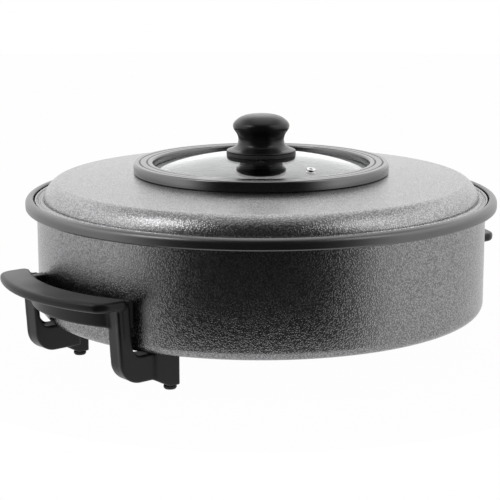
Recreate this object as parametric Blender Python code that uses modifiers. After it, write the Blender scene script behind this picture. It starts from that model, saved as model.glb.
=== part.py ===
"""An electric party pan with a lift-off lid: metres, +Z up, standing on Z = 0 with its axis on Z.

The handles stand at +X and -X, the inlet at the back, +Y.
"""

import math

import bmesh
import bpy
from mathutils import Matrix, Vector

# Fits and facets
FIT = 0.0003
HOLE_FIT = 0.0003
TURN_STEPS = 48
RING_STEPS = 40
KNOB_STEPS = 28
ROUND_STEPS = 12
SMALL_STEPS = 8
ARC_POINTS = 5
LID_SIDE_STEPS = 6
OVERRUN = 0.02
MERGE = 0.00001
SMOOTH_ANGLE = math.radians(35)

# Pan and casing
CASING_RADIUS = 0.200
CASING_SHEET = 0.0012
CASING_CORNER = 0.008
FOOT_HEIGHT = 0.0363
CASING_HEIGHT = 0.0917
FLANGE_WIDTH = 0.052
FLANGE_INNER_RADIUS = CASING_RADIUS - FLANGE_WIDTH
RIM_OVERHANG = 0.010
RIM_RADIUS = CASING_RADIUS + RIM_OVERHANG
RIM_HEIGHT = 0.010
RIM_WIDTH = 0.007
RIM_EDGE = 0.005
RIM_INNER_EDGE = 0.0012
LEDGE_DEPTH = 0.005
LEDGE_INSET = 0.008
PAN_WALL = 0.003
PAN_FLOOR = 0.003
FLOOR_RISE = 0.0347
PAN_CORNER = 0.012
PAN_LEDGE_RADIUS = CASING_RADIUS - LEDGE_INSET
PAN_TAPER = 0.003
BOSS_RADIUS = 0.010
BOSS_LENGTH = 0.018

# Lid
LID_SHEET = 0.0012
LID_HEIGHT = 0.0225
LID_PLAY = 0.001
LID_FLANGE_WIDTH = 0.0075
LID_SIDE_SLOPE = 0.0135
LID_FLANGE_RADIUS = RIM_RADIUS - RIM_WIDTH - LID_PLAY
LID_SIDE_RADIUS = LID_FLANGE_RADIUS - LID_FLANGE_WIDTH
LID_CREASE_RADIUS = LID_SIDE_RADIUS - LID_SIDE_SLOPE
LID_TOP_DROP = 0.005
LID_ROUNDNESS = 1.6

# Window and knob
GLASS_RADIUS = 0.1033
GLASS_THICKNESS = 0.004
GLASS_CURVE_RADIUS = 0.337
GLASS_EDGE_RISE = 0.00057
GLASS_HOLE_RADIUS = 0.004
GLASS_PLAY = 0.0007
RING_LAP = 0.0065
RING_REACH = 0.0107
RING_OUTER_RADIUS = GLASS_RADIUS + RING_REACH
RING_INNER_RADIUS = GLASS_RADIUS - RING_LAP
RING_HEIGHT = 0.0096
GROOVE_DEPTH = 0.0014
WINDOW_HOLE_RADIUS = GLASS_RADIUS + GLASS_PLAY
RETAINER_LAP = 0.0018
RETAINER_INSET = 0.001
RETAINER_INNER_RADIUS = RING_INNER_RADIUS - RETAINER_LAP
RETAINER_OUTER_RADIUS = RING_OUTER_RADIUS - RETAINER_INSET
RETAINER_FLOOR = 0.00325
GASKET_THICKNESS = 0.00072
VENT_RADIUS = 0.0675
VENT_FLANGE_RADIUS = 0.0042
VENT_FLANGE = 0.0007
VENT_SLEEVE_RADIUS = 0.0029
VENT_BORE_RADIUS = 0.0017
KNOB_HEIGHT = 0.0331
KNOB_HEAD_RADIUS = 0.0252
KNOB_NECK_RADIUS = 0.0205
KNOB_FLANGE_RADIUS = 0.0308
KNOB_BORE_RADIUS = 0.0028
KNOB_BORE_DEPTH = 0.0167
KNOB_GASKET_LAP = 0.0002
KNOB_GASKET_RADIUS = KNOB_FLANGE_RADIUS + KNOB_GASKET_LAP
KNOB_GASKET_HEIGHT = 0.0018
KNOB_GASKET_HOLE = 0.008

# Handles
GRIP_RISE = 0.0477
GRIP_TOP = FOOT_HEIGHT + GRIP_RISE
GRIP_THICKNESS = 0.008
GRIP_WIDTH = 0.028
GRIP_CORNER = 0.007
GRIP_END_GAP = 0.012
GRIP_NARROWING = 0.001
GRIP_END_WIDTH = 0.0015
GRIP_OVERHANG = 0.004
FINGER_ROOM = 0.018
SKIRT_THICKNESS = 0.005
SKIRT_DEPTH = 0.026
SKIRT_BOW = 0.017
SKIRT_END = 0.005
LEG_STANDS_OUT = 0.0072
LEG_LEAN = 0.0045
LEG_WALL = 0.005
LEG_INNER_SIDE = 0.0552
LEG_WIDTH = 0.017
LEG_END_WALL = 0.0045
LEG_GAP = 0.004
LEG_OUTER_CORNER = 0.017
LEG_INNER_CORNER = 0.009
TOE_DROP = 0.0023
TOE_THICKNESS = 0.022
BLOCK_INSET = 0.028
BLOCK_DEPTH = 0.025
BLOCK_SIDE_STEP = 0.0058
BLOCK_WIDTH = 0.013
BLOCK_RISE = 0.0081
BLOCK_SLOPE = 0.015
WEB_INSET = 0.0018
WEB_WIDTH = 0.0107
WEB_DEPTH = 0.002
SCREW_BITE = 0.0062
GRIP_INNER_REACH = CASING_RADIUS + FINGER_ROOM
GRIP_OUTER_REACH = GRIP_INNER_REACH + GRIP_WIDTH
GRIP_INNER_HALF = LEG_INNER_SIDE + LEG_WIDTH + GRIP_OVERHANG
GRIP_OUTER_HALF = GRIP_INNER_HALF + GRIP_END_WIDTH
WALL_AT_GRIP_END = math.sqrt(CASING_RADIUS ** 2 - GRIP_INNER_HALF ** 2)
GRIP_INNER_BOW = GRIP_INNER_REACH - WALL_AT_GRIP_END - GRIP_END_GAP
GRIP_OUTER_BOW = GRIP_INNER_BOW - GRIP_NARROWING
SKIRT_REACH = GRIP_INNER_REACH + SKIRT_THICKNESS
SKIRT_HALF = LEG_INNER_SIDE + SKIRT_END
SKIRT_BOTTOM = GRIP_TOP - SKIRT_DEPTH
LEG_REACH = CASING_RADIUS + LEG_STANDS_OUT
TOE_TOP = FOOT_HEIGHT - TOE_DROP
TOE_BOTTOM = TOE_TOP - TOE_THICKNESS
BLOCK_OUTER_REACH = CASING_RADIUS - BLOCK_INSET
BLOCK_INNER_REACH = BLOCK_OUTER_REACH - BLOCK_DEPTH
BLOCK_INNER_SIDE = LEG_INNER_SIDE + BLOCK_SIDE_STEP
WEB_INNER_SIDE = LEG_INNER_SIDE + WEB_INSET
WEB_REACH = CASING_RADIUS + WEB_DEPTH
WEB_TOP = GRIP_TOP - GRIP_THICKNESS / 2
SCREW_SIDE = WEB_INNER_SIDE + WEB_WIDTH / 2
SCREW_HEIGHT = (SKIRT_BOTTOM + WEB_TOP) / 2
LEG_LEAN_AT_TOE = LEG_LEAN * (WEB_TOP - TOE_TOP) / (WEB_TOP - TOE_BOTTOM)
END_WALL_SIDE = LEG_INNER_SIDE + LEG_WIDTH - LEG_END_WALL
WALL_AT_END_WALL = math.sqrt(CASING_RADIUS ** 2 - END_WALL_SIDE ** 2)
END_WALL_DEPTH = LEG_REACH - LEG_LEAN_AT_TOE - WALL_AT_END_WALL - LEG_GAP

# Foot pads
PAD_INSET = 0.006
PAD_THICKNESS = 0.0031
PAD_RADIUS = 0.0055
PAD_FACE_RADIUS = 0.0046
PAD_EDGE = 0.0012
PAD_STEM_RADIUS = 0.0027
PAD_STEM = 0.0056
PAD_REACH = BLOCK_INNER_REACH + PAD_INSET
BLOCK_BOTTOM = PAD_THICKNESS + FIT
BLOCK_HEEL = BLOCK_BOTTOM + BLOCK_RISE

# Inlet
INLET_WIDTH = 0.052
INLET_TALL = 0.024
INLET_STANDS_OUT = 0.008
INLET_DEPTH = 0.036
INLET_ROOM = 0.001
INLET_BACK_WALL = 0.010
INLET_SIDE_WALL = 0.005
INLET_CAP_WALL = 0.0035
PIN_RADIUS = 0.003
PIN_INSET = 0.004
PROBE_RADIUS = 0.005
PROBE_BORE_RADIUS = 0.0035
PROBE_INSET = 0.008
PROBE_TAIL = 0.022
INLET_FRONT = CASING_RADIUS + INLET_STANDS_OUT
INLET_BACK = INLET_FRONT - INLET_DEPTH
PIN_END = INLET_FRONT - PIN_INSET
PROBE_END = INLET_FRONT - PROBE_INSET
PROBE_START = INLET_BACK - PROBE_TAIL

# Heater
ELEMENT_TUBE = 0.004
LEAD_SPACING = 0.014
LEAD_BEND = 0.012
LEAD_ENTRY = 0.012
LEAD_FALL = 0.018
LEAD_LEVEL = 0.022
LEAD_DROP_END = INLET_BACK - LEAD_ENTRY
LEAD_LEVEL_END = LEAD_DROP_END - LEAD_FALL
ELEMENT_RADIUS = LEAD_LEVEL_END - LEAD_LEVEL
TRAY_SHEET = 0.0012
TRAY_RIM = 0.0105
TRAY_RIM_DROP = 0.0064
TRAY_SHELF_HALF = 0.0115
TRAY_RADIUS = ELEMENT_RADIUS + TRAY_SHELF_HALF + TRAY_RIM
TRAY_SLOPE = 0.013
COVER_LAP = 0.008
COVER_RADIUS = FLANGE_INNER_RADIUS + COVER_LAP
COVER_SHEET = 0.0012

# Fasteners
SCREW_RADIUS = 0.0015
SCREW_HEAD_RADIUS = 0.003
SCREW_HEAD = 0.0016
COVER_SCREW_RING = FLANGE_INNER_RADIUS + COVER_LAP / 2
COVER_SCREW_BEYOND = 0.0028
COVER_SCREW_LENGTH = COVER_SHEET + 2 * FIT + CASING_SHEET + COVER_SCREW_BEYOND
RING_SCREW_STEP = 0.0062
RING_SCREW_RING = GLASS_RADIUS + RING_SCREW_STEP
RING_SCREW_BITE = 0.0049
HANDLE_SCREW_RADIUS = 0.002
HANDLE_SCREW_HEAD_RADIUS = 0.0036
BOLT_RADIUS = 0.003
BOLT_HEAD_RADIUS = 0.006
BOLT_HEAD = 0.0045
BOLT_BITE = 0.012
SPACER_RADIUS = 0.006
KNOB_SCREW_RADIUS = 0.0025
KNOB_SCREW_HEAD_RADIUS = 0.006
KNOB_SCREW_HEAD = 0.0038
WASHER_RADIUS = 0.011
WASHER_THICKNESS = 0.001

# Levels worked out from the sizes above
CASING_BOTTOM = FOOT_HEIGHT
LIP_LEVEL = FOOT_HEIGHT + CASING_HEIGHT
RIM_TOP = LIP_LEVEL + RIM_HEIGHT
LEDGE_TOP = RIM_TOP - LEDGE_DEPTH
FLOOR_TOP = CASING_BOTTOM + FLOOR_RISE
FLOOR_UNDERSIDE = FLOOR_TOP - PAN_FLOOR
LEDGE_UNDERSIDE = LEDGE_TOP - PAN_WALL
BOSS_BOTTOM = FLOOR_UNDERSIDE - BOSS_LENGTH
CASING_TOP = LEDGE_UNDERSIDE - FIT
FLANGE_TOP = LEDGE_TOP + FIT + LID_SHEET
LID_TOP = FLANGE_TOP + LID_HEIGHT
LID_UNDERSIDE = LID_TOP - LID_SHEET
RING_BOTTOM = LID_TOP + FIT
RING_TOP = LID_TOP + RING_HEIGHT
GLASS_EDGE_LEVEL = LID_TOP + GLASS_EDGE_RISE
GLASS_TOP = GLASS_EDGE_LEVEL + GLASS_RADIUS ** 2 / (2 * GLASS_CURVE_RADIUS)
RETAINER_TOP = LID_UNDERSIDE - FIT
RETAINER_SHELF = GLASS_EDGE_LEVEL - GLASS_THICKNESS - GASKET_THICKNESS - 2 * FIT
RETAINER_BOTTOM = RETAINER_SHELF - RETAINER_FLOOR
RING_SCREW_LENGTH = RING_BOTTOM - RETAINER_BOTTOM + FIT + RING_SCREW_BITE
INLET_HEIGHT = FLOOR_UNDERSIDE - INLET_ROOM - INLET_TALL / 2
COVER_TOP = CASING_BOTTOM - FIT
COVER_BOTTOM = COVER_TOP - COVER_SHEET
TRAY_CENTRE_TOP = BOSS_BOTTOM - FIT
ELEMENT_LEVEL = FLOOR_UNDERSIDE - FIT - ELEMENT_TUBE
TRAY_SHELF_TOP = ELEMENT_LEVEL - ELEMENT_TUBE - FIT


def clear_scene():
    for item in list(bpy.data.objects):
        bpy.data.objects.remove(item, do_unlink=True)


def make_collection(name):
    collection = bpy.data.collections.new(name)
    bpy.context.scene.collection.children.link(collection)
    return collection


def make_material(name, colour, roughness, metallic=0.0, alpha=1.0):
    material = bpy.data.materials.new(name)
    material.use_nodes = True
    shader = material.node_tree.nodes["Principled BSDF"]
    shader.inputs["Base Color"].default_value = (*colour, 1.0)
    shader.inputs["Roughness"].default_value = roughness
    shader.inputs["Metallic"].default_value = metallic
    shader.inputs["Alpha"].default_value = alpha
    return material


clear_scene()
PARTS = make_collection("electric_party_pan")
CUTTERS = make_collection("cutters")

HAMMERED_PAINT = make_material("hammered_paint", (0.06, 0.06, 0.065), 0.35, 0.4)
SATIN_COATING = make_material("satin_coating", (0.05, 0.05, 0.055), 0.4, 0.3)
LID_PAINT = make_material("lid_paint", (0.45, 0.45, 0.46), 0.35, 0.5)
BLACK_TRIM = make_material("black_trim", (0.012, 0.012, 0.013), 0.3)
BAKELITE = make_material("bakelite", (0.015, 0.015, 0.016), 0.35)
GLASS = make_material("glass", (0.8, 0.82, 0.82), 0.05, 0.0, 0.4)
SILICONE = make_material("silicone", (0.1, 0.1, 0.1), 0.6)
RUBBER = make_material("rubber", (0.02, 0.02, 0.02), 0.7)
BRIGHT_STEEL = make_material("bright_steel", (0.6, 0.6, 0.6), 0.3, 1.0)
ELEMENT_STEEL = make_material("element_steel", (0.2, 0.19, 0.18), 0.45, 1.0)
TRAY_STEEL = make_material("tray_steel", (0.55, 0.55, 0.56), 0.4, 1.0)
COVER_STEEL = make_material("cover_steel", (0.1, 0.1, 0.1), 0.5, 0.8)
HOUSING_PLASTIC = make_material("housing_plastic", (0.02, 0.02, 0.02), 0.5)

LID_AXIS = bpy.data.objects.new("lid_axis", None)
LID_AXIS.location = (0.0, 0.0, LEDGE_TOP)
PARTS.objects.link(LID_AXIS)


def finish(item, material, on_lid=False):
    """Gives the piece its material and, if it is the lid's, hangs it on the lid's axis where it stands."""
    item.data.materials.clear()
    item.data.materials.append(material)
    if on_lid:
        item.parent = LID_AXIS
        item.matrix_parent_inverse = Matrix.Translation(-LID_AXIS.location)
    return item


def as_cutter(item):
    for collection in list(item.users_collection):
        collection.objects.unlink(item)
    CUTTERS.objects.link(item)
    item.hide_render = True
    item.display_type = "WIRE"
    return item


def add_mesh(name, points, edges):
    mesh = bpy.data.meshes.new(name)
    mesh.from_pydata(points, edges, [])
    item = bpy.data.objects.new(name, mesh)
    PARTS.objects.link(item)
    return item


def turned(name, profile, steps, closed):
    """Turns a profile of (radius, height) about Z. It runs down its outer side; closed joins its ends."""
    count = len(profile)
    edges = [(i, i + 1) for i in range(count - 1)]
    if closed:
        edges.append((count - 1, 0))
    item = add_mesh(name, [(radius, 0.0, height) for radius, height in profile], edges)
    screw = item.modifiers.new("turn", "SCREW")
    screw.steps = steps
    screw.render_steps = steps
    screw.use_merge_vertices = True
    screw.merge_threshold = MERGE
    screw.use_smooth_shade = True
    return item


def turned_sheet(name, profile, thickness, steps):
    """A turned sheet: the profile is its outer face, and the sheet's thickness lies behind it."""
    item = turned(name, profile, steps, False)
    wall = item.modifiers.new("sheet", "SOLIDIFY")
    wall.thickness = thickness
    wall.offset = -1.0
    wall.use_even_offset = True
    wall.use_quality_normals = True
    return item


def arc(centre, radius, start, end, count):
    """Points on an arc from start to end, in degrees."""
    angles = [math.radians(start + (end - start) * i / (count - 1)) for i in range(count)]
    return [(centre[0] + radius * math.cos(a), centre[1] + radius * math.sin(a)) for a in angles]


def cylinder(name, radius, low, high, steps):
    """A cylinder on the Z axis from low to high."""
    mesh = bpy.data.meshes.new(name)
    shape = bmesh.new()
    bmesh.ops.create_cone(shape, cap_ends=True, segments=steps, radius1=radius, radius2=radius, depth=high - low)
    bmesh.ops.translate(shape, vec=(0.0, 0.0, (low + high) / 2), verts=shape.verts)
    shape.to_mesh(mesh)
    shape.free()
    item = bpy.data.objects.new(name, mesh)
    PARTS.objects.link(item)
    return item


def box(name, low, high):
    mesh = bpy.data.meshes.new(name)
    shape = bmesh.new()
    bmesh.ops.create_cube(shape, size=1.0)
    low, high = Vector(low), Vector(high)
    bmesh.ops.scale(shape, vec=high - low, verts=shape.verts)
    bmesh.ops.translate(shape, vec=(low + high) / 2, verts=shape.verts)
    shape.to_mesh(mesh)
    shape.free()
    item = bpy.data.objects.new(name, mesh)
    PARTS.objects.link(item)
    return item


def frozen(item):
    """The same object with its modifiers worked into its mesh, and its own place kept."""
    bpy.context.view_layer.update()
    seen = item.evaluated_get(bpy.context.evaluated_depsgraph_get())
    mesh = bpy.data.meshes.new_from_object(seen)
    shape = bmesh.new()
    shape.from_mesh(mesh)
    bmesh.ops.remove_doubles(shape, verts=shape.verts, dist=MERGE)
    shape.to_mesh(mesh)
    shape.free()
    still = bpy.data.objects.new(item.name, mesh)
    still.matrix_world = item.matrix_world.copy()
    PARTS.objects.link(still)
    name = item.name
    bpy.data.objects.remove(item, do_unlink=True)
    still.name = name
    return still


def plate(name, outline, low, high, upright=False):
    """A flat outline given its thickness from low to high: along Z, or along Y where it stands upright."""
    curve = bpy.data.curves.new(name, "CURVE")
    curve.dimensions = "2D"
    curve.fill_mode = "BOTH"
    curve.extrude = (high - low) / 2
    spline = curve.splines.new("POLY")
    spline.points.add(len(outline) - 1)
    for point, (first, second) in zip(spline.points, outline):
        point.co = (first, second, 0.0, 1.0)
    spline.use_cyclic_u = True
    item = bpy.data.objects.new(name, curve)
    PARTS.objects.link(item)
    middle = (low + high) / 2
    if upright:
        item.rotation_euler = (math.pi / 2, 0.0, 0.0)
        item.location = (0.0, middle, 0.0)
    else:
        item.location = (0.0, 0.0, middle)
    return frozen(item)


def rounded(corners, segments=ARC_POINTS):
    """An outline from (x, y, radius) corners, each corner of some radius turned into an arc."""
    points = []
    for index, (x, y, radius) in enumerate(corners):
        here = Vector((x, y))
        if radius == 0:
            points.append((x, y))
            continue
        before = Vector(corners[index - 1][:2]) - here
        after = Vector(corners[(index + 1) % len(corners)][:2]) - here
        half = before.angle(after) / 2
        centre = here + (before.normalized() + after.normalized()).normalized() * (radius / math.sin(half))
        first = here + before.normalized() * (radius / math.tan(half)) - centre
        last = here + after.normalized() * (radius / math.tan(half)) - centre
        for i in range(segments + 1):
            step = first.lerp(last, i / segments).normalized() * radius
            points.append(tuple(centre + step))
    return points


def bow(reach, sagitta, half, count):
    """Points from -half to +half along Y on an arc that is furthest out, at reach, in its middle."""
    radius = (half ** 2 + sagitta ** 2) / (2 * sagitta)
    sides = [half * (2 * i / (count - 1) - 1) for i in range(count)]
    return [(reach - radius + math.sqrt(radius ** 2 - y ** 2), y) for y in sides]


def boolean(target, cutter, operation="DIFFERENCE"):
    change = target.modifiers.new(cutter.name, "BOOLEAN")
    change.operation = operation
    change.solver = "EXACT"
    change.object = as_cutter(cutter)


def drill(target, name, radius, place, axis, depth, steps=SMALL_STEPS):
    """Cuts a round hole that starts at place and goes depth along axis."""
    cutter = cylinder(name, radius, 0.0, depth, steps)
    cutter.rotation_mode = "QUATERNION"
    cutter.rotation_quaternion = Vector((0.0, 0.0, 1.0)).rotation_difference(Vector(axis))
    cutter.location = place
    boolean(target, cutter)


def around(radius, count, first):
    """Places on a circle, as (x, y) and angle."""
    angles = [first + math.tau * i / count for i in range(count)]
    return [(radius * math.cos(a), radius * math.sin(a), a) for a in angles]


def glass_height(radius):
    """Height of the glass's top face at a radius."""
    return GLASS_TOP - radius ** 2 / (2 * GLASS_CURVE_RADIUS)


def cooking_pan():
    inner = PAN_LEDGE_RADIUS - PAN_TAPER
    corner_centre = (inner - PAN_CORNER, FLOOR_TOP + PAN_CORNER)
    rim_inner = RIM_RADIUS - RIM_WIDTH
    profile = [(0.0, FLOOR_TOP)]
    profile += arc(corner_centre, PAN_CORNER, -90, 0, ARC_POINTS)
    profile += [
        (PAN_LEDGE_RADIUS - RIM_INNER_EDGE, LEDGE_TOP - RIM_INNER_EDGE),
        (PAN_LEDGE_RADIUS, LEDGE_TOP),
        (rim_inner - FIT, LEDGE_TOP),
        (rim_inner, RIM_TOP - RIM_INNER_EDGE),
        (rim_inner + RIM_INNER_EDGE, RIM_TOP),
    ]
    profile += arc((RIM_RADIUS - RIM_EDGE, RIM_TOP - RIM_EDGE), RIM_EDGE, 90, 0, ARC_POINTS)
    seat = CASING_RADIUS + FIT
    profile += [(RIM_RADIUS, LIP_LEVEL), (seat, LIP_LEVEL), (seat, LEDGE_UNDERSIDE)]
    profile += [(PAN_LEDGE_RADIUS + PAN_WALL / 2, LEDGE_UNDERSIDE)]
    profile += arc(corner_centre, PAN_CORNER + PAN_FLOOR, 0, -90, ARC_POINTS)
    hole = BOLT_RADIUS + HOLE_FIT
    hole_top = BOSS_BOTTOM + BOLT_BITE + 2 * HOLE_FIT
    profile += [(BOSS_RADIUS, FLOOR_UNDERSIDE), (BOSS_RADIUS, BOSS_BOTTOM), (hole, BOSS_BOTTOM)]
    profile += [(hole, hole_top), (0.0, hole_top)]
    return finish(turned("cooking_pan", profile, TURN_STEPS, False), SATIN_COATING)


def outer_casing():
    profile = [(CASING_RADIUS, CASING_TOP)]
    corner_centre = (CASING_RADIUS - CASING_CORNER, CASING_BOTTOM + CASING_CORNER)
    profile += arc(corner_centre, CASING_CORNER, 0, -90, ARC_POINTS)
    profile += [(FLANGE_INNER_RADIUS, CASING_BOTTOM)]
    casing = turned_sheet("outer_casing", profile, CASING_SHEET, TURN_STEPS)
    half = INLET_WIDTH / 2 + FIT
    low = INLET_HEIGHT - INLET_TALL / 2 - FIT
    high = INLET_HEIGHT + INLET_TALL / 2 + FIT
    window = box("inlet_window", (-half, INLET_BACK - OVERRUN, low), (half, INLET_FRONT + OVERRUN, high))
    boolean(casing, window)
    for number, (direction, place) in enumerate(handle_screw_axes(), 1):
        start = place - direction * OVERRUN
        hole = HANDLE_SCREW_RADIUS + HOLE_FIT
        drill(casing, f"casing_hole_{number}", hole, start, direction, 2 * OVERRUN)
    for number, (x, y, _) in enumerate(around(COVER_SCREW_RING, 4, math.pi / 4), 1):
        start = (x, y, CASING_BOTTOM - OVERRUN)
        drill(casing, f"flange_hole_{number}", SCREW_RADIUS + HOLE_FIT, start, (0, 0, 1), 2 * OVERRUN)
    return finish(casing, HAMMERED_PAINT)


def base_cover():
    hole = BOLT_RADIUS + HOLE_FIT
    profile = [(hole, COVER_TOP), (COVER_RADIUS, COVER_TOP), (COVER_RADIUS, COVER_BOTTOM), (hole, COVER_BOTTOM)]
    cover = turned("base_cover", profile, TURN_STEPS, True)
    for number, (x, y, _) in enumerate(around(COVER_SCREW_RING, 4, math.pi / 4), 1):
        start = (x, y, COVER_BOTTOM - OVERRUN)
        drill(cover, f"cover_hole_{number}", SCREW_RADIUS + HOLE_FIT, start, (0, 0, 1), 2 * OVERRUN)
    return finish(cover, COVER_STEEL)


def screw(name, radius, head_radius, head, length, steps=SMALL_STEPS):
    """A screw pointing up along Z: its head's seat is at zero and its shank goes up from there."""
    chamfer = head / 3
    profile = [
        (0.0, length),
        (radius, length),
        (radius, 0.0),
        (head_radius, 0.0),
        (head_radius, chamfer - head),
        (head_radius - chamfer, -head),
        (0.0, -head),
    ]
    return turned(name, profile, steps, False)


def cover_screws():
    for number, (x, y, _) in enumerate(around(COVER_SCREW_RING, 4, math.pi / 4), 1):
        item = screw(f"cover_screw_{number}", SCREW_RADIUS, SCREW_HEAD_RADIUS, SCREW_HEAD, COVER_SCREW_LENGTH)
        item.location = (x, y, COVER_BOTTOM - FIT)
        finish(item, BRIGHT_STEEL)


def centre_clamp():
    seat = COVER_BOTTOM - FIT
    reach = BOSS_BOTTOM + BOLT_BITE - seat
    bolt = screw("centre_bolt", BOLT_RADIUS, BOLT_HEAD_RADIUS, BOLT_HEAD, reach, ROUND_STEPS)
    bolt.location = (0.0, 0.0, seat)
    finish(bolt, BRIGHT_STEEL)
    hole = BOLT_RADIUS + HOLE_FIT
    top = TRAY_CENTRE_TOP - TRAY_SHEET - FIT
    low = COVER_TOP + FIT
    profile = [(hole, top), (SPACER_RADIUS, top), (SPACER_RADIUS, low), (hole, low)]
    finish(turned("centre_spacer", profile, ROUND_STEPS, True), BRIGHT_STEEL)


def element_tray():
    shelf_inner = ELEMENT_RADIUS - TRAY_SHELF_HALF
    shelf_outer = ELEMENT_RADIUS + TRAY_SHELF_HALF
    rim_level = TRAY_SHELF_TOP - TRAY_RIM_DROP
    profile = [
        (BOLT_RADIUS + HOLE_FIT, TRAY_CENTRE_TOP),
        (shelf_inner - TRAY_SLOPE, TRAY_CENTRE_TOP),
        (shelf_inner, TRAY_SHELF_TOP),
        (shelf_outer, TRAY_SHELF_TOP),
        ((shelf_outer + TRAY_RADIUS) / 2, rim_level),
        (TRAY_RADIUS, rim_level),
    ]
    return finish(turned_sheet("element_tray", profile, TRAY_SHEET, RING_STEPS), TRAY_STEEL)


def element_route():
    """One turn round the pan's axis between two leads that bend back, level off and drop to the inlet."""
    bend_x = LEAD_SPACING + LEAD_BEND
    bend_y = math.sqrt((ELEMENT_RADIUS + LEAD_BEND) ** 2 - bend_x ** 2)
    lead = [(INLET_BACK - FIT, INLET_HEIGHT)]
    drop = ELEMENT_LEVEL - INLET_HEIGHT
    for i in range(ARC_POINTS):
        share = i / (ARC_POINTS - 1)
        y = LEAD_DROP_END + (LEAD_LEVEL_END - LEAD_DROP_END) * share
        lead.append((y, INLET_HEIGHT + drop * (1 - math.cos(math.pi * share)) / 2))
    half = [(LEAD_SPACING, y, z) for y, z in lead]
    touch = math.degrees(math.atan2(-bend_y, -bend_x))
    for x, y in arc((bend_x, bend_y), LEAD_BEND, -180, touch, ARC_POINTS):
        half.append((x, y, ELEMENT_LEVEL))
    start = math.degrees(math.atan2(bend_y, bend_x))
    for x, y in arc((0.0, 0.0), ELEMENT_RADIUS, start, -90, 13)[1:]:
        half.append((x, y, ELEMENT_LEVEL))
    other = [(-x, y, z) for x, y, z in reversed(half[:-1])]
    return half + other


def heating_element():
    curve = bpy.data.curves.new("heating_element", "CURVE")
    curve.dimensions = "3D"
    curve.bevel_depth = ELEMENT_TUBE
    curve.bevel_resolution = 2
    curve.use_fill_caps = True
    route = element_route()
    spline = curve.splines.new("POLY")
    spline.points.add(len(route) - 1)
    for point, place in zip(spline.points, route):
        point.co = (*place, 1.0)
    item = bpy.data.objects.new("heating_element", curve)
    PARTS.objects.link(item)
    return finish(item, ELEMENT_STEEL)


def inlet():
    half = INLET_WIDTH / 2
    low = INLET_HEIGHT - INLET_TALL / 2
    high = INLET_HEIGHT + INLET_TALL / 2
    housing = box("inlet_housing", (-half, INLET_BACK, low), (half, INLET_FRONT, high))
    cavity_half = half - INLET_SIDE_WALL
    cavity = box(
        "inlet_cavity",
        (-cavity_half, INLET_BACK + INLET_BACK_WALL, low + INLET_CAP_WALL),
        (cavity_half, INLET_FRONT + OVERRUN, high - INLET_CAP_WALL),
    )
    boolean(housing, cavity)
    start_y = INLET_BACK - OVERRUN
    along = (0, 1, 0)
    for name, x in (("live_pin", -LEAD_SPACING), ("neutral_pin", LEAD_SPACING)):
        place = (x, start_y, INLET_HEIGHT)
        drill(housing, name + "_hole", PIN_RADIUS + HOLE_FIT, place, along, 2 * OVERRUN)
        pin = cylinder(name, PIN_RADIUS, 0.0, PIN_END - INLET_BACK, SMALL_STEPS)
        pin.rotation_euler = (-math.pi / 2, 0.0, 0.0)
        pin.location = (x, INLET_BACK, INLET_HEIGHT)
        finish(pin, BRIGHT_STEEL)
    place = (0.0, start_y, INLET_HEIGHT)
    drill(housing, "probe_hole", PROBE_RADIUS + HOLE_FIT, place, along, 2 * OVERRUN, ROUND_STEPS)
    finish(housing, HOUSING_PLASTIC)
    length = PROBE_END - PROBE_START
    profile = [(PROBE_BORE_RADIUS, length), (PROBE_RADIUS, length), (PROBE_RADIUS, 0.0), (PROBE_BORE_RADIUS, 0.0)]
    sleeve = turned("probe_sleeve", profile, ROUND_STEPS, True)
    sleeve.rotation_euler = (-math.pi / 2, 0.0, 0.0)
    sleeve.location = (0.0, PROBE_START, INLET_HEIGHT)
    finish(sleeve, BRIGHT_STEEL)


def handle_screw_axes():
    """Direction of each handle screw, square to the casing's wall, and the point where it leaves the wall."""
    axes = []
    tilt = math.asin(SCREW_SIDE / CASING_RADIUS)
    for middle in (0.0, math.pi):
        for side in (-tilt, tilt):
            direction = Vector((math.cos(middle + side), math.sin(middle + side), 0.0))
            axes.append((direction, direction * CASING_RADIUS + Vector((0.0, 0.0, SCREW_HEIGHT))))
    return axes


def grip_outline():
    inner = bow(GRIP_INNER_REACH, GRIP_INNER_BOW, GRIP_INNER_HALF, 9)
    outer = bow(GRIP_OUTER_REACH, GRIP_OUTER_BOW, GRIP_OUTER_HALF, 11)
    corners = [(x, y, 0) for x, y in reversed(inner)]
    for index, (x, y) in enumerate(outer):
        corners.append((x, y, GRIP_CORNER if index in (0, len(outer) - 1) else 0))
    return rounded(corners)


def skirt_outline():
    outer = bow(SKIRT_REACH, SKIRT_BOW, SKIRT_HALF, 9)
    return outer + [(x - SKIRT_THICKNESS, y) for x, y in reversed(outer)]


def leg_outline(depth):
    """The L of a leg seen from the side, as distance out and height. It leans in towards its toe."""
    toe_end = (BLOCK_INNER_REACH + BLOCK_OUTER_REACH) / 2
    inner = LEG_REACH - depth
    return rounded([
        (LEG_REACH, WEB_TOP, 0),
        (inner, WEB_TOP, 0),
        (inner - LEG_LEAN_AT_TOE, TOE_TOP, LEG_INNER_CORNER),
        (toe_end, TOE_TOP, 0),
        (toe_end, TOE_BOTTOM, 0),
        (LEG_REACH - LEG_LEAN, TOE_BOTTOM, LEG_OUTER_CORNER),
    ])


def block_outline():
    """A foot block seen from the side: its sole rises towards the leg."""
    top = CASING_BOTTOM - FIT
    return [
        (BLOCK_INNER_REACH, top),
        (BLOCK_INNER_REACH, BLOCK_BOTTOM),
        (BLOCK_OUTER_REACH - BLOCK_SLOPE, BLOCK_BOTTOM),
        (BLOCK_OUTER_REACH, BLOCK_HEEL),
        (BLOCK_OUTER_REACH, top),
    ]


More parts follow.
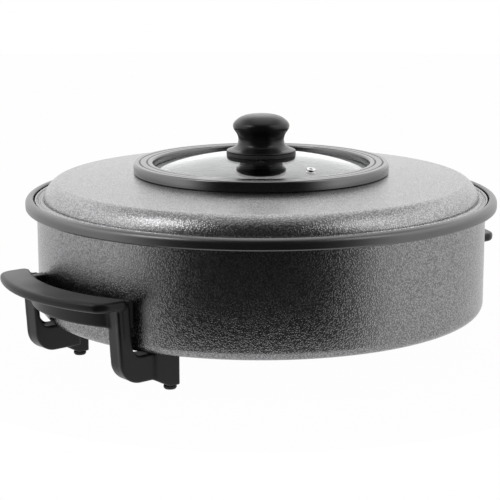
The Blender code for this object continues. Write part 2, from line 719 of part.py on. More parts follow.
def handles():
    """One moulding, built at +X and turned half round for the other side."""
    grip = plate("right_handle", grip_outline(), GRIP_TOP - GRIP_THICKNESS, GRIP_TOP)
    boolean(grip, plate("skirt", skirt_outline(), SKIRT_BOTTOM, WEB_TOP), "UNION")
    for side in (-1, 1):
        tag = "front" if side < 0 else "rear"
        near, far = sorted((side * LEG_INNER_SIDE, side * (LEG_INNER_SIDE + LEG_WIDTH)))
        boolean(grip, plate(f"{tag}_leg", leg_outline(LEG_WALL), near, far, True), "UNION")
        near, far = sorted((side * END_WALL_SIDE, side * (END_WALL_SIDE + LEG_END_WALL)))
        boolean(grip, plate(f"{tag}_end_wall", leg_outline(END_WALL_DEPTH), near, far, True), "UNION")
        near, far = sorted((side * BLOCK_INNER_SIDE, side * (BLOCK_INNER_SIDE + BLOCK_WIDTH)))
        boolean(grip, plate(f"{tag}_block", block_outline(), near, far, True), "UNION")
        near, far = sorted((side * WEB_INNER_SIDE, side * (WEB_INNER_SIDE + WEB_WIDTH)))
        low = (CASING_RADIUS - OVERRUN, near, SKIRT_BOTTOM - FIT)
        web = box(f"{tag}_web", low, (WEB_REACH, far, WEB_TOP - FIT))
        boolean(grip, web, "UNION")
    wall = cylinder("casing_room", CASING_RADIUS + FIT, GRIP_TOP / 2, GRIP_TOP + OVERRUN, TURN_STEPS)
    wall.rotation_euler = (0.0, 0.0, math.pi / 2)
    boolean(grip, wall)
    for number, (direction, place) in enumerate(handle_screw_axes()[:2], 1):
        depth = OVERRUN / 2 + SCREW_BITE + HOLE_FIT
        hole = HANDLE_SCREW_RADIUS + HOLE_FIT
        drill(grip, f"handle_hole_{number}", hole, place - direction * (OVERRUN / 2), direction, depth)
    for number, side in enumerate((-1, 1), 1):
        place = (PAD_REACH, side * pad_side(), BLOCK_BOTTOM - OVERRUN)
        depth = OVERRUN + PAD_STEM + HOLE_FIT
        drill(grip, f"pad_hole_{number}", PAD_STEM_RADIUS + HOLE_FIT, place, (0, 0, 1), depth)
    right = finish(frozen(grip), BAKELITE)
    left = bpy.data.objects.new("left_handle", right.data)
    left.location = right.location
    left.rotation_euler = (0.0, 0.0, math.pi)
    PARTS.objects.link(left)


def pad_side():
    return BLOCK_INNER_SIDE + BLOCK_WIDTH / 2


def handle_screws():
    for number, (direction, place) in enumerate(handle_screw_axes(), 1):
        seat = place - direction * (CASING_SHEET + 2 * FIT)
        reach = CASING_SHEET + 2 * FIT + SCREW_BITE - HOLE_FIT
        name = f"handle_screw_{number}"
        item = screw(name, HANDLE_SCREW_RADIUS, HANDLE_SCREW_HEAD_RADIUS, SCREW_HEAD, reach)
        item.rotation_mode = "QUATERNION"
        item.rotation_quaternion = Vector((0.0, 0.0, 1.0)).rotation_difference(direction)
        item.location = seat
        finish(item, BRIGHT_STEEL)


def foot_pads():
    seat = BLOCK_BOTTOM - FIT
    profile = [
        (0.0, BLOCK_BOTTOM + PAD_STEM),
        (PAD_STEM_RADIUS, BLOCK_BOTTOM + PAD_STEM),
        (PAD_STEM_RADIUS, seat),
        (PAD_RADIUS, seat),
        (PAD_RADIUS, PAD_EDGE),
        (PAD_FACE_RADIUS, 0.0),
        (0.0, 0.0),
    ]
    number = 0
    for x in (PAD_REACH, -PAD_REACH):
        for y in (-pad_side(), pad_side()):
            number += 1
            pad = turned(f"foot_pad_{number}", profile, ROUND_STEPS, False)
            pad.location = (x, y, 0.0)
            finish(pad, RUBBER)


def lid_shell():
    """Its side is a superellipse that bends down from the top's edge to the flange."""
    crease = LID_TOP - LID_TOP_DROP
    depth = crease - FLANGE_TOP
    width = LID_SIDE_RADIUS - LID_CREASE_RADIUS
    profile = [(WINDOW_HOLE_RADIUS, LID_TOP), (RING_OUTER_RADIUS, LID_TOP)]
    for i in range(LID_SIDE_STEPS):
        turn = math.pi / 2 * i / LID_SIDE_STEPS
        across = math.sin(turn) ** (2 / LID_ROUNDNESS)
        down = 1 - math.cos(turn) ** (2 / LID_ROUNDNESS)
        profile.append((LID_CREASE_RADIUS + width * across, crease - depth * down))
    profile += [(LID_SIDE_RADIUS + LID_SHEET, FLANGE_TOP), (LID_FLANGE_RADIUS, FLANGE_TOP)]
    shell = turned_sheet("lid_shell", profile, LID_SHEET, TURN_STEPS)
    for number, (x, y, _) in enumerate(around(RING_SCREW_RING, 4, math.pi / 4), 1):
        start = (x, y, LID_UNDERSIDE - OVERRUN)
        drill(shell, f"lid_hole_{number}", SCREW_RADIUS + HOLE_FIT, start, (0, 0, 1), 2 * OVERRUN)
    return finish(shell, LID_PAINT, True)


def window_ring():
    width = RING_OUTER_RADIUS - RING_INNER_RADIUS
    across_share = (0.0, 0.05, 0.16, 0.24, 0.30, 0.36, 0.50, 0.64, 0.70, 0.76, 0.85, 0.95, 1.0)
    groove_share = (1.3, 0.3, 0.0, 0.4, 1.0, 0.4, 0.0, 0.4, 1.0, 0.4, 0.0, 0.35, 1.3)
    profile = [
        (RING_INNER_RADIUS + width * across, RING_TOP - GROOVE_DEPTH * down)
        for across, down in zip(across_share, groove_share)
    ]
    step = WINDOW_HOLE_RADIUS + FIT
    profile += [
        (RING_OUTER_RADIUS, RING_BOTTOM),
        (step, RING_BOTTOM),
        (GLASS_RADIUS, glass_height(GLASS_RADIUS) + FIT),
        (RING_INNER_RADIUS, glass_height(RING_INNER_RADIUS) + FIT),
    ]
    ring = turned("window_ring", profile, RING_STEPS, True)
    for number, (x, y, _) in enumerate(around(RING_SCREW_RING, 4, math.pi / 4), 1):
        start = (x, y, RETAINER_BOTTOM - FIT)
        depth = RING_SCREW_LENGTH + HOLE_FIT
        drill(ring, f"ring_hole_{number}", SCREW_RADIUS + HOLE_FIT, start, (0, 0, 1), depth)
    return finish(ring, BLACK_TRIM, True)


def window_glass():
    span = GLASS_RADIUS - GLASS_HOLE_RADIUS
    radii = [GLASS_HOLE_RADIUS + span * i / 6 for i in range(7)]
    profile = [(radius, glass_height(radius)) for radius in radii]
    profile += [(radius, glass_height(radius) - GLASS_THICKNESS) for radius in reversed(radii)]
    glass = turned("window_glass", profile, RING_STEPS, True)
    direction, place = vent_axis()
    hole = VENT_SLEEVE_RADIUS + HOLE_FIT
    drill(glass, "vent_hole", hole, place - direction * OVERRUN, direction, 2 * OVERRUN)
    return finish(glass, GLASS, True)


def window_gasket():
    inner = RING_INNER_RADIUS
    outer = GLASS_RADIUS
    drop = GLASS_THICKNESS + FIT
    low = RETAINER_SHELF + FIT
    profile = [
        (inner, glass_height(inner) - drop),
        (outer, glass_height(outer) - drop),
        (outer, low),
        (inner, low),
    ]
    return finish(turned("window_gasket", profile, RING_STEPS, True), SILICONE, True)


def retaining_ring():
    step = GLASS_RADIUS + 2 * FIT
    profile = [
        (RETAINER_INNER_RADIUS, RETAINER_SHELF),
        (step, RETAINER_SHELF),
        (step, RETAINER_TOP),
        (RETAINER_OUTER_RADIUS, RETAINER_TOP),
        (RETAINER_OUTER_RADIUS, RETAINER_BOTTOM),
        (RETAINER_INNER_RADIUS, RETAINER_BOTTOM),
    ]
    ring = turned("retaining_ring", profile, RING_STEPS, True)
    for number, (x, y, _) in enumerate(around(RING_SCREW_RING, 4, math.pi / 4), 1):
        start = (x, y, RETAINER_BOTTOM - OVERRUN)
        drill(ring, f"retainer_hole_{number}", SCREW_RADIUS + HOLE_FIT, start, (0, 0, 1), 2 * OVERRUN)
    return finish(ring, BLACK_TRIM, True)


def ring_screws():
    for number, (x, y, _) in enumerate(around(RING_SCREW_RING, 4, math.pi / 4), 1):
        item = screw(f"ring_screw_{number}", SCREW_RADIUS, SCREW_HEAD_RADIUS, SCREW_HEAD, RING_SCREW_LENGTH)
        item.location = (x, y, RETAINER_BOTTOM - FIT)
        finish(item, BRIGHT_STEEL, True)


def vent_axis():
    """The glass's outward direction at the vent, and the point of its top face there."""
    place = Vector((0.0, -VENT_RADIUS, glass_height(VENT_RADIUS)))
    direction = Vector((0.0, -VENT_RADIUS, GLASS_CURVE_RADIUS)).normalized()
    return direction, place


def vent_eyelet():
    direction, place = vent_axis()
    below = -GLASS_THICKNESS - FIT
    profile = [
        (VENT_BORE_RADIUS, FIT + VENT_FLANGE),
        (VENT_FLANGE_RADIUS, FIT + VENT_FLANGE),
        (VENT_FLANGE_RADIUS, FIT),
        (VENT_SLEEVE_RADIUS, FIT),
        (VENT_SLEEVE_RADIUS, below),
        (VENT_FLANGE_RADIUS, below),
        (VENT_FLANGE_RADIUS, below - VENT_FLANGE),
        (VENT_BORE_RADIUS, below - VENT_FLANGE),
    ]
    item = turned("vent_eyelet", profile, SMALL_STEPS, True)
    item.rotation_mode = "QUATERNION"
    item.rotation_quaternion = Vector((0.0, 0.0, 1.0)).rotation_difference(direction)
    item.location = place
    return finish(item, BRIGHT_STEEL, True)


def knob():
    base = GLASS_TOP + KNOB_GASKET_HEIGHT + FIT
    neck = KNOB_NECK_RADIUS
    head = KNOB_HEAD_RADIUS - neck
    flange = KNOB_FLANGE_RADIUS - neck
    dome_share = (0.365, 0.665, 0.872, 0.975)
    dome_height_share = (0.989, 0.943, 0.845, 0.765)
    profile = [(0.0, base + KNOB_HEIGHT)]
    profile += [
        (KNOB_HEAD_RADIUS * across, base + KNOB_HEIGHT * up)
        for across, up in zip(dome_share, dome_height_share)
    ]
    head_share = (1.0, 0.86, 0.36, 0.04)
    head_height_share = (0.655, 0.575, 0.475, 0.385)
    profile += [(neck + head * out, base + KNOB_HEIGHT * up) for out, up in zip(head_share, head_height_share)]
    flange_share = (0.0, 0.14, 0.48, 0.87, 1.0, 1.0)
    flange_height_share = (0.25, 0.16, 0.088, 0.048, 0.027, 0.0)
    profile += [
        (neck + flange * out, base + KNOB_HEIGHT * up)
        for out, up in zip(flange_share, flange_height_share)
    ]
    profile += [
        (KNOB_BORE_RADIUS, base),
        (KNOB_BORE_RADIUS, base + KNOB_BORE_DEPTH),
        (0.0, base + KNOB_BORE_DEPTH),
    ]
    return finish(turned("knob", profile, KNOB_STEPS, False), BAKELITE, True)


def knob_gasket():
    top = GLASS_TOP + KNOB_GASKET_HEIGHT
    span = KNOB_GASKET_RADIUS - KNOB_GASKET_HOLE
    radii = [KNOB_GASKET_RADIUS - span * i / 3 for i in range(4)]
    profile = [(KNOB_GASKET_HOLE, top), (KNOB_GASKET_RADIUS, top)]
    profile += [(radius, glass_height(radius) + FIT) for radius in radii]
    return finish(turned("knob_gasket", profile, KNOB_STEPS, True), SILICONE, True)


def knob_clamp():
    hole = KNOB_SCREW_RADIUS + HOLE_FIT
    top = glass_height(WASHER_RADIUS) - GLASS_THICKNESS - FIT
    low = top - WASHER_THICKNESS
    profile = [(hole, top), (WASHER_RADIUS, top), (WASHER_RADIUS, low), (hole, low)]
    finish(turned("knob_washer", profile, ROUND_STEPS, True), BRIGHT_STEEL, True)
    seat = low - FIT
    reach = GLASS_TOP + KNOB_GASKET_HEIGHT + KNOB_BORE_DEPTH - seat
    item = screw("knob_screw", KNOB_SCREW_RADIUS, KNOB_SCREW_HEAD_RADIUS, KNOB_SCREW_HEAD, reach)
    item.location = (0.0, 0.0, seat)
    finish(item, BRIGHT_STEEL, True)


cooking_pan()
outer_casing()
base_cover()
cover_screws()
centre_clamp()
element_tray()
heating_element()
inlet()
handles()
handle_screws()
foot_pads()
lid_shell()
window_ring()
window_glass()
window_gasket()
retaining_ring()
ring_screws()
vent_eyelet()
knob()
knob_gasket()
knob_clamp()
for piece in PARTS.objects:
    if piece.type == "MESH":
        piece.data.shade_smooth()
        piece.data.set_sharp_from_angle(angle=SMOOTH_ANGLE)
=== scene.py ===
# The electric party pan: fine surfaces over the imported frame, studio and camera
import math

import bmesh
import bpy
import numpy as np
from mathutils import Matrix, Vector


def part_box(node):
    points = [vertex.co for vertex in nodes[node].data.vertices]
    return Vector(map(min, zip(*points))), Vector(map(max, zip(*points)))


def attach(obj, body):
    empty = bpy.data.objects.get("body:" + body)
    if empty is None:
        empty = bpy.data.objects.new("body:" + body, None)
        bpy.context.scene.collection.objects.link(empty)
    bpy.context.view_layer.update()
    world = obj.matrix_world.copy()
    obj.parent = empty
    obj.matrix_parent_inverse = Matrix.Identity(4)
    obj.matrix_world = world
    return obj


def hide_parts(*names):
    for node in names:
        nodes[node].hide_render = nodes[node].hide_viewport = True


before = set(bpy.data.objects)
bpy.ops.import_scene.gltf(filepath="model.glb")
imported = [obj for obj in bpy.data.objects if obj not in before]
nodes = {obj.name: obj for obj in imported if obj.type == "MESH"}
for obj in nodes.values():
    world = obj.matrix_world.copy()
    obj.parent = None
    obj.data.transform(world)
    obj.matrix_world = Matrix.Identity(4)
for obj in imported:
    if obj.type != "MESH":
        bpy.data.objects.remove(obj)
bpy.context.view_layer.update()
print("frame loaded:", len(nodes), "nodes")

# Sizes that several pieces share, in metres
mm = 0.001
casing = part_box("outer_casing")
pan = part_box("cooking_pan")
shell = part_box("lid_shell")
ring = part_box("window_ring")
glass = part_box("window_glass")
fit = 0.3 * mm
casingRadius = casing[1].x
rimRadius = pan[1].x
rimTop = pan[1].z
ledgeTop = rimTop - 5 * mm
lipLevel = rimTop - 10 * mm
lidTop = shell[1].z
ringRadius = ring[1].x
glassRadius = glass[1].x
glassTop = glass[1].z
glassCurve = 337 * mm
photoTurn = math.radians(39.5)
towardsCamera = Vector((-math.sin(photoTurn), -math.cos(photoTurn), 0.0))
towardsRight = Vector((math.cos(photoTurn), -math.sin(photoTurn), 0.0))


# Mesh helpers

def signedVolume(points, quads):
    a, b, c, d = (points[quads[:, i]] for i in range(4))
    first = np.einsum("ij,ij->i", a, np.cross(b, c)).sum()
    second = np.einsum("ij,ij->i", a, np.cross(c, d)).sum()
    return (first + second) / 6


def meshPiece(name, points, quads, sharpAngle=40.0):
    # points is (n, 3), quads is (m, 4); the faces of a closed shell are turned to look outwards
    if signedVolume(points, quads) < 0:
        quads = quads[:, ::-1]
    mesh = bpy.data.meshes.new(name)
    mesh.from_pydata(points.tolist(), [], quads.tolist())
    tidy = bmesh.new()
    tidy.from_mesh(mesh)
    bmesh.ops.remove_doubles(tidy, verts=tidy.verts, dist=0.002 * mm)
    tidy.to_mesh(mesh)
    tidy.free()
    mesh.shade_smooth()
    mesh.set_sharp_from_angle(angle=math.radians(sharpAngle))
    piece = bpy.data.objects.new(name, mesh)
    bpy.context.scene.collection.objects.link(piece)
    return piece


def gridQuads(rows, columns, closedRows, closedColumns):
    # quads of a grid of points that may close on itself either way
    i = np.arange(rows if closedRows else rows - 1)
    j = np.arange(columns if closedColumns else columns - 1)
    i, j = (a.ravel() for a in np.meshgrid(i, j, indexing="ij"))
    nextRow, nextColumn = (i + 1) % rows, (j + 1) % columns
    corners = [i * columns + j, nextRow * columns + j, nextRow * columns + nextColumn, i * columns + nextColumn]
    return np.stack(corners, 1)


def revolve(name, outline, steps=192, closed=True, place=(0.0, 0.0, 0.0)):
    # point(u, v) = (r(v) cos u, r(v) sin u, z(v)): u goes once round, v runs along the outline
    outline = np.asarray(outline, float)
    turn = np.linspace(0.0, 2 * np.pi, steps, endpoint=False)
    r, z = outline[:, 0][None, :], outline[:, 1][None, :]
    x = np.cos(turn)[:, None] * r
    y = np.sin(turn)[:, None] * r
    points = np.stack([x, y, np.broadcast_to(z, x.shape)], -1).reshape(-1, 3) + np.array(place)
    return meshPiece(name, points, gridQuads(steps, len(outline), True, closed))


def filleted(corners, arcSteps=5, closed=True):
    # corners are (r, z, fillet); each fillet is an arc that touches both sides of its corner
    points = []
    count = len(corners)
    for index, (x, y, radius) in enumerate(corners):
        here = np.array([x, y], float)
        if radius == 0 or (not closed and index in (0, count - 1)):
            points.append(here)
            continue
        before = np.array(corners[index - 1][:2], float) - here
        after = np.array(corners[(index + 1) % count][:2], float) - here
        before /= np.linalg.norm(before)
        after /= np.linalg.norm(after)
        half = math.acos(np.clip(before @ after, -1, 1)) / 2
        middle = before + after
        centre = here + middle / np.linalg.norm(middle) * radius / math.sin(half)
        start = here + before * radius / math.tan(half) - centre
        end = here + after * radius / math.tan(half) - centre
        share = np.linspace(0.0, 1.0, arcSteps + 1)[:, None]
        step = start * (1 - share) + end * share
        points.extend(centre + step / np.linalg.norm(step, axis=1, keepdims=True) * radius)
    return np.array(points)


def smoothThrough(points, perSpan=6):
    # Catmull-Rom curve: every span between two points is a cubic whose slopes come from the neighbours
    points = np.asarray(points, float)
    padded = np.vstack([2 * points[0] - points[1], points, 2 * points[-1] - points[-2]])
    share = np.linspace(0.0, 1.0, perSpan, endpoint=False)[None, :, None]
    a, b, c, d = (padded[i:len(padded) - 3 + i][:, None, :] for i in range(4))
    curve = 0.5 * (2 * b + (c - a) * share + (2 * a - 5 * b + 4 * c - d) * share ** 2
                   + (3 * b - a - 3 * c + d) * share ** 3)
    return np.vstack([curve.reshape(-1, points.shape[1]), points[-1]])


def pierce(piece, holes):
    # holes are (place, direction, radius, length); each is cut through the piece and its cutter taken away
    for place, direction, radius, length in holes:
        cutterMesh = bpy.data.meshes.new("cutter")
        shape = bmesh.new()
        bmesh.ops.create_cone(shape, cap_ends=True, segments=24, radius1=radius, radius2=radius, depth=length)
        turn = Vector((0, 0, 1)).rotation_difference(Vector(direction)).to_matrix().to_4x4()
        bmesh.ops.transform(shape, matrix=Matrix.Translation(place) @ turn, verts=shape.verts)
        shape.to_mesh(cutterMesh)
        shape.free()
        cutter = bpy.data.objects.new("cutter", cutterMesh)
        bpy.context.scene.collection.objects.link(cutter)
        cut = piece.modifiers.new("hole", "BOOLEAN")
        cut.object = cutter
        cut.solver = "EXACT"
        applyModifiers(piece)
        bpy.data.objects.remove(cutter, do_unlink=True)
    return piece


def applyModifiers(piece):
    bpy.context.view_layer.update()
    seen = piece.evaluated_get(bpy.context.evaluated_depsgraph_get())
    mesh = bpy.data.meshes.new_from_object(seen)
    piece.modifiers.clear()
    piece.data = mesh
    return piece


def sheet(piece, thickness):
    # gives an open surface its wall, which lies behind its outward face
    wall = piece.modifiers.new("wall", "SOLIDIFY")
    wall.thickness = thickness
    wall.offset = -1.0
    wall.use_even_offset = True
    applyModifiers(piece)
    piece.data.set_sharp_from_angle(angle=math.radians(40))
    return piece


# Material helpers

class Finish:
    # a Principled material and short calls for the nodes in front of it
    def __init__(self, name, colour, roughness, metallic=0.0, **sockets):
        self.material = bpy.data.materials.new(name)
        self.material.use_nodes = True
        self.tree = self.material.node_tree
        self.shader = self.tree.nodes["Principled BSDF"]
        self.shader.inputs["Base Color"].default_value = (*colour, 1.0)
        self.shader.inputs["Roughness"].default_value = roughness
        self.shader.inputs["Metallic"].default_value = metallic
        for socket, value in sockets.items():
            self.shader.inputs[socket].default_value = value
        self.place = self.tree.nodes.new("ShaderNodeTexCoord").outputs["Object"]

    def node(self, kind, settings=(), **links):
        made = self.tree.nodes.new("ShaderNode" + kind)
        for key, value in dict(settings).items():
            if hasattr(made, key):
                setattr(made, key, value)
            else:
                made.inputs[key].default_value = value
        for socket, source in links.items():
            self.tree.links.new(source, made.inputs[socket])
        return made

    def noise(self, scale, detail=2.0, rough=0.5, place=None):
        settings = {"Scale": scale, "Detail": detail, "Roughness": rough}
        return self.node("TexNoise", settings, Vector=place or self.place).outputs["Fac"]

    def spread(self, source, low, high, toLow, toHigh):
        settings = {"From Min": low, "From Max": high, "To Min": toLow, "To Max": toHigh}
        return self.node("MapRange", settings, Value=source).outputs["Result"]

    def sum(self, first, second, kind="ADD"):
        made = self.node("Math", {"operation": kind})
        for socket, value in zip(made.inputs, (first, second)):
            if isinstance(value, (int, float)):
                socket.default_value = value
            else:
                self.tree.links.new(value, socket)
        return made.outputs[0]

    def colours(self, source, low, high):
        made = self.node("ValToRGB")
        made.color_ramp.elements[0].color = (*low, 1.0)
        made.color_ramp.elements[1].color = (*high, 1.0)
        self.tree.links.new(source, made.inputs["Fac"])
        return made.outputs["Color"]

    def to(self, socket, source):
        self.tree.links.new(source, self.shader.inputs[socket])
        return self

    def bump(self, height, depth, strength=1.0):
        made = self.node("Bump", {"Strength": strength, "Distance": depth})
        self.tree.links.new(height, made.inputs["Height"])
        self.tree.links.new(made.outputs["Normal"], self.shader.inputs["Normal"])
        return self


# Materials of the visible skins

def hammerPaint(name, settings):
    # satin metallic paint that has drawn into small islands with darker seams between them
    finish = Finish(name, settings["islands"], settings["rough"], 1.0)
    drift = finish.node("TexNoise", {"Scale": settings["scale"] * 0.6, "Detail": 1.0}, Vector=finish.place)
    offset = finish.node("VectorMath", {"operation": "MULTIPLY_ADD"})
    offset.inputs[1].default_value = (settings["drift"],) * 3
    finish.tree.links.new(drift.outputs["Color"], offset.inputs[0])
    finish.tree.links.new(finish.place, offset.inputs[2])
    cell = {"feature": "SMOOTH_F1", "Scale": settings["scale"], "Smoothness": 0.35}
    islands = finish.node("TexVoronoi", cell, Vector=offset.outputs[0]).outputs["Distance"]
    fine = finish.noise(settings["scale"] * 2.3, 3.0, 0.6)
    raised = finish.spread(islands, 0.15, 0.62, 1.0, 0.0)
    height = finish.sum(raised, finish.sum(fine, 0.45, "MULTIPLY"))
    patches = finish.noise(settings["scale"] * 0.28, 2.0)
    tone = finish.sum(finish.sum(height, 0.62, "MULTIPLY"), finish.sum(patches, 0.25, "MULTIPLY"))
    finish.to("Base Color", finish.colours(tone, settings["seams"], settings["islands"]))
    finish.to("Roughness", finish.spread(fine, 0.3, 0.7, settings["rough"] - 0.05, settings["rough"] + 0.06))
    return finish.bump(height, settings["depth"]).material


def satinMetal(name, colour, rough, wear=0.04, grain=900.0, depth=0.02 * mm):
    # a thin even coat: fine orange peel in its gloss and a slow drift in its tone
    finish = Finish(name, colour, rough, 1.0)
    slow = finish.noise(14.0, 3.0)
    low = tuple(c * (1 - 3 * wear) for c in colour)
    high = tuple(c * (1 + 3 * wear) for c in colour)
    finish.to("Base Color", finish.colours(slow, low, high))
    fine = finish.noise(grain, 2.0)
    finish.to("Roughness", finish.spread(fine, 0.3, 0.7, rough - wear, rough + wear))
    return finish.bump(fine, depth).material


def mouldedPlastic(name, colour, rough, grain=1400.0, depth=0.03 * mm, **sockets):
    # pressed resin: a fine matt grain over a faint flow pattern
    finish = Finish(name, colour, rough, 0.0, **sockets)
    fine = finish.noise(grain, 3.0, 0.6)
    flow = finish.noise(22.0, 2.0)
    low = tuple(c * 0.8 for c in colour)
    high = tuple(c * 1.25 for c in colour)
    finish.to("Base Color", finish.colours(flow, low, high))
    finish.to("Roughness", finish.spread(flow, 0.3, 0.7, rough - 0.05, rough + 0.05))
    return finish.bump(fine, depth).material


def turnedSteel(name, colour, rough):
    # bright steel with the fine rings that a lathe leaves, worked out from the height alone
    finish = Finish(name, colour, rough, 1.0)
    rings = finish.node("TexWave", {"wave_type": "RINGS", "rings_direction": "Z", "Scale": 900.0, "Distortion": 0.6},
                        Vector=finish.place).outputs["Fac"]
    smear = finish.noise(300.0, 3.0)
    finish.to("Roughness", finish.spread(smear, 0.3, 0.7, rough - 0.07, rough + 0.09))
    low = tuple(c * 0.85 for c in colour)
    finish.to("Base Color", finish.colours(smear, low, colour))
    return finish.bump(rings, 0.01 * mm, 0.5).material


def clearGlass(name, settings):
    # toughened glass with the faintest wave left by its rollers
    finish = Finish(name, settings["tint"], settings["rough"], 0.0, **{"Transmission Weight": 1.0, "IOR": 1.5})
    wave = finish.noise(9.0, 1.0)
    finish.to("Base Color", finish.colours(wave, settings["tint"], settings["tintThick"]))
    return finish.bump(wave, 0.15 * mm, 0.4).material


wallPaint = hammerPaint("wallPaint", {
    "islands": (0.42, 0.42, 0.425), "seams": (0.09, 0.09, 0.095), "rough": 0.25,
    "scale": 760.0, "drift": 0.0007, "depth": 0.10 * mm})
# the wall's hammertone paint with lighter islands and seams: the extra lightness is painted light, standing in for the
# light that falls on the lid's top
lidPaintPaintedLight = hammerPaint("lidPaintPaintedLight", {
    "islands": (0.54, 0.54, 0.545), "seams": (0.15, 0.15, 0.155), "rough": 0.28,
    "scale": 720.0, "drift": 0.0007, "depth": 0.09 * mm})
rimCoat = satinMetal("rimCoat", (0.14, 0.14, 0.142), 0.32)
ringCoat = satinMetal("ringCoat", (0.16, 0.16, 0.162), 0.22)
bakelite = mouldedPlastic("bakelite", (0.006, 0.006, 0.0063), 0.34, **{"Specular IOR Level": 0.28})
knobResin = mouldedPlastic("knobResin", (0.006, 0.006, 0.0063), 0.25, **{"Specular IOR Level": 0.38})
windowGlass = clearGlass("windowGlass", {"tint": (0.90, 0.92, 0.92), "tintThick": (0.85, 0.88, 0.88), "rough": 0.02})
sealRubber = mouldedPlastic("sealRubber", (0.02, 0.02, 0.02), 0.55, 700.0, 0.05 * mm)
padRubber = mouldedPlastic("padRubber", (0.018, 0.018, 0.018), 0.7, 900.0, 0.08 * mm)
housingPlastic = mouldedPlastic("housingPlastic", (0.012, 0.012, 0.012), 0.45)
brightSteel = turnedSteel("brightSteel", (0.62, 0.62, 0.61), 0.25)
eyeletSteel = turnedSteel("eyeletSteel", (0.75, 0.75, 0.74), 0.2)
contactBrass = turnedSteel("contactBrass", (0.72, 0.58, 0.30), 0.28)
elementSteel = satinMetal("elementSteel", (0.20, 0.19, 0.175), 0.45, 0.08, 500.0)
traySteel = satinMetal("traySteel", (0.55, 0.55, 0.56), 0.38, 0.06, 400.0)
coverSteel = satinMetal("coverSteel", (0.13, 0.13, 0.132), 0.45, 0.06, 600.0, 0.05 * mm)
print("materials made")


def dress(piece, body, material, slot, *replaced):
    piece.data.materials.clear()
    piece.data.materials.append(material)
    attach(piece, body)
    if replaced:
        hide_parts(*replaced)
    return piece


# Pan, casing and what closes it from below

panSettings = {
    "rimWidth": 7 * mm, "rimEdge": 4.6 * mm, "rimLip": 1.9 * mm, "ledgeRadius": 192 * mm, "wallTaper": 3 * mm,
    "wall": 3 * mm, "floor": 3 * mm, "corner": 12 * mm, "boss": 10 * mm, "bossLength": 18 * mm,
    "boltHole": 3.3 * mm, "boltDepth": 12.6 * mm, "floorTop": 71 * mm}


def makePan(s):
    # closed section: floor, wall, ledge, rim with its rolled edge, and back under the floor to the boss
    inner = s["ledgeRadius"] - s["wallTaper"]
    rimInner = rimRadius - s["rimWidth"]
    under = s["floorTop"] - s["floor"]
    seat = casingRadius + fit
    ledgeUnder = ledgeTop - s["wall"]
    outline = filleted([
        (0, s["floorTop"], 0),
        (inner, s["floorTop"], s["corner"]),
        (s["ledgeRadius"], ledgeTop, 1.2 * mm),
        (rimInner, ledgeTop, 0.6 * mm),
        (rimInner, rimTop, 1.6 * mm),
        (rimRadius, rimTop, s["rimEdge"]),
        (rimRadius, lipLevel, s["rimLip"]),
        (seat, lipLevel, 0),
        (seat, ledgeUnder, 0),
        (s["ledgeRadius"] + s["wall"], ledgeUnder, 0),
        (inner + s["wall"], under, s["corner"] + s["floor"]),
        (s["boss"], under, 2 * mm),
        (s["boss"], under - s["bossLength"], 0.6 * mm),
        (s["boltHole"], under - s["bossLength"], 0),
        (s["boltHole"], under - s["bossLength"] + s["boltDepth"], 0),
        (0, under - s["bossLength"] + s["boltDepth"], 0),
    ], 8, closed=False)
    return revolve("panSkin", outline, 240, closed=False)


dress(makePan(panSettings), "pan", rimCoat, "coated_pan", "cooking_pan")

wallSettings = {
    "sheet": 1.2 * mm, "corner": 8 * mm, "top": ledgeTop - 3.3 * mm, "bottom": casing[0].z, "flangeInner": 148 * mm,
    "windowHalf": 26.3 * mm, "windowLow": 42.7 * mm, "windowHigh": 67.3 * mm, "screwRing": 152 * mm,
    "screwHole": 1.8 * mm, "handleSide": 62.35 * mm, "handleHeight": 69 * mm, "handleHole": 2.3 * mm}


def handleAxes(s, ends=(0.0, math.pi)):
    # the four handle screws stand square to the wall
    tilt = math.asin(s["handleSide"] / casingRadius)
    axes = []
    for end in ends:
        for side in (-tilt, tilt):
            direction = Vector((math.cos(end + side), math.sin(end + side), 0.0))
            axes.append((direction * casingRadius + Vector((0, 0, s["handleHeight"])), direction))
    return axes


def squareRing(radius, count=4):
    turns = [math.pi / 4 + math.tau * i / count for i in range(count)]
    return [(radius * math.cos(a), radius * math.sin(a)) for a in turns]


def makeWall(s):
    # wall, rolled corner and inturned flange as one open surface, then its wall thickness, then its openings
    rows = filleted([
        (casingRadius, s["top"], 0), (casingRadius, s["bottom"], s["corner"]), (s["flangeInner"], s["bottom"], 0),
    ], 12, closed=False)
    outline = np.vstack([np.linspace(rows[0], rows[1], 8)[:-1], rows[1:]])
    wall = revolve("wallSkin", outline, 240, closed=False)
    if wall.data.polygons[0].normal.dot(wall.data.polygons[0].center) < 0:
        wall.data.flip_normals()
    sheet(wall, s["sheet"])
    room = bpy.data.meshes.new("room")
    shape = bmesh.new()
    bmesh.ops.create_cube(shape, size=1.0)
    size = Vector((2 * s["windowHalf"], 60 * mm, s["windowHigh"] - s["windowLow"]))
    bmesh.ops.scale(shape, vec=size, verts=shape.verts)
    bmesh.ops.translate(shape, vec=(0, casingRadius, (s["windowHigh"] + s["windowLow"]) / 2), verts=shape.verts)
    shape.to_mesh(room)
    shape.free()
    cutter = bpy.data.objects.new("room", room)
    bpy.context.scene.collection.objects.link(cutter)
    cut = wall.modifiers.new("window", "BOOLEAN")
    cut.object = cutter
    cut.solver = "EXACT"
    applyModifiers(wall)
    bpy.data.objects.remove(cutter, do_unlink=True)
    holes = [(place, way, s["handleHole"], 8 * mm) for place, way in handleAxes(s)]
    holes += [((x, y, s["bottom"]), (0, 0, 1), s["screwHole"], 8 * mm) for x, y in squareRing(s["screwRing"])]
    pierce(wall, holes)
    wall.data.set_sharp_from_angle(angle=math.radians(40))
    return wall


dress(makeWall(wallSettings), "pan", wallPaint, "hammered_paint", "outer_casing")
print("pan and wall made")


# Lid: flange with its bead, steep side, flat top

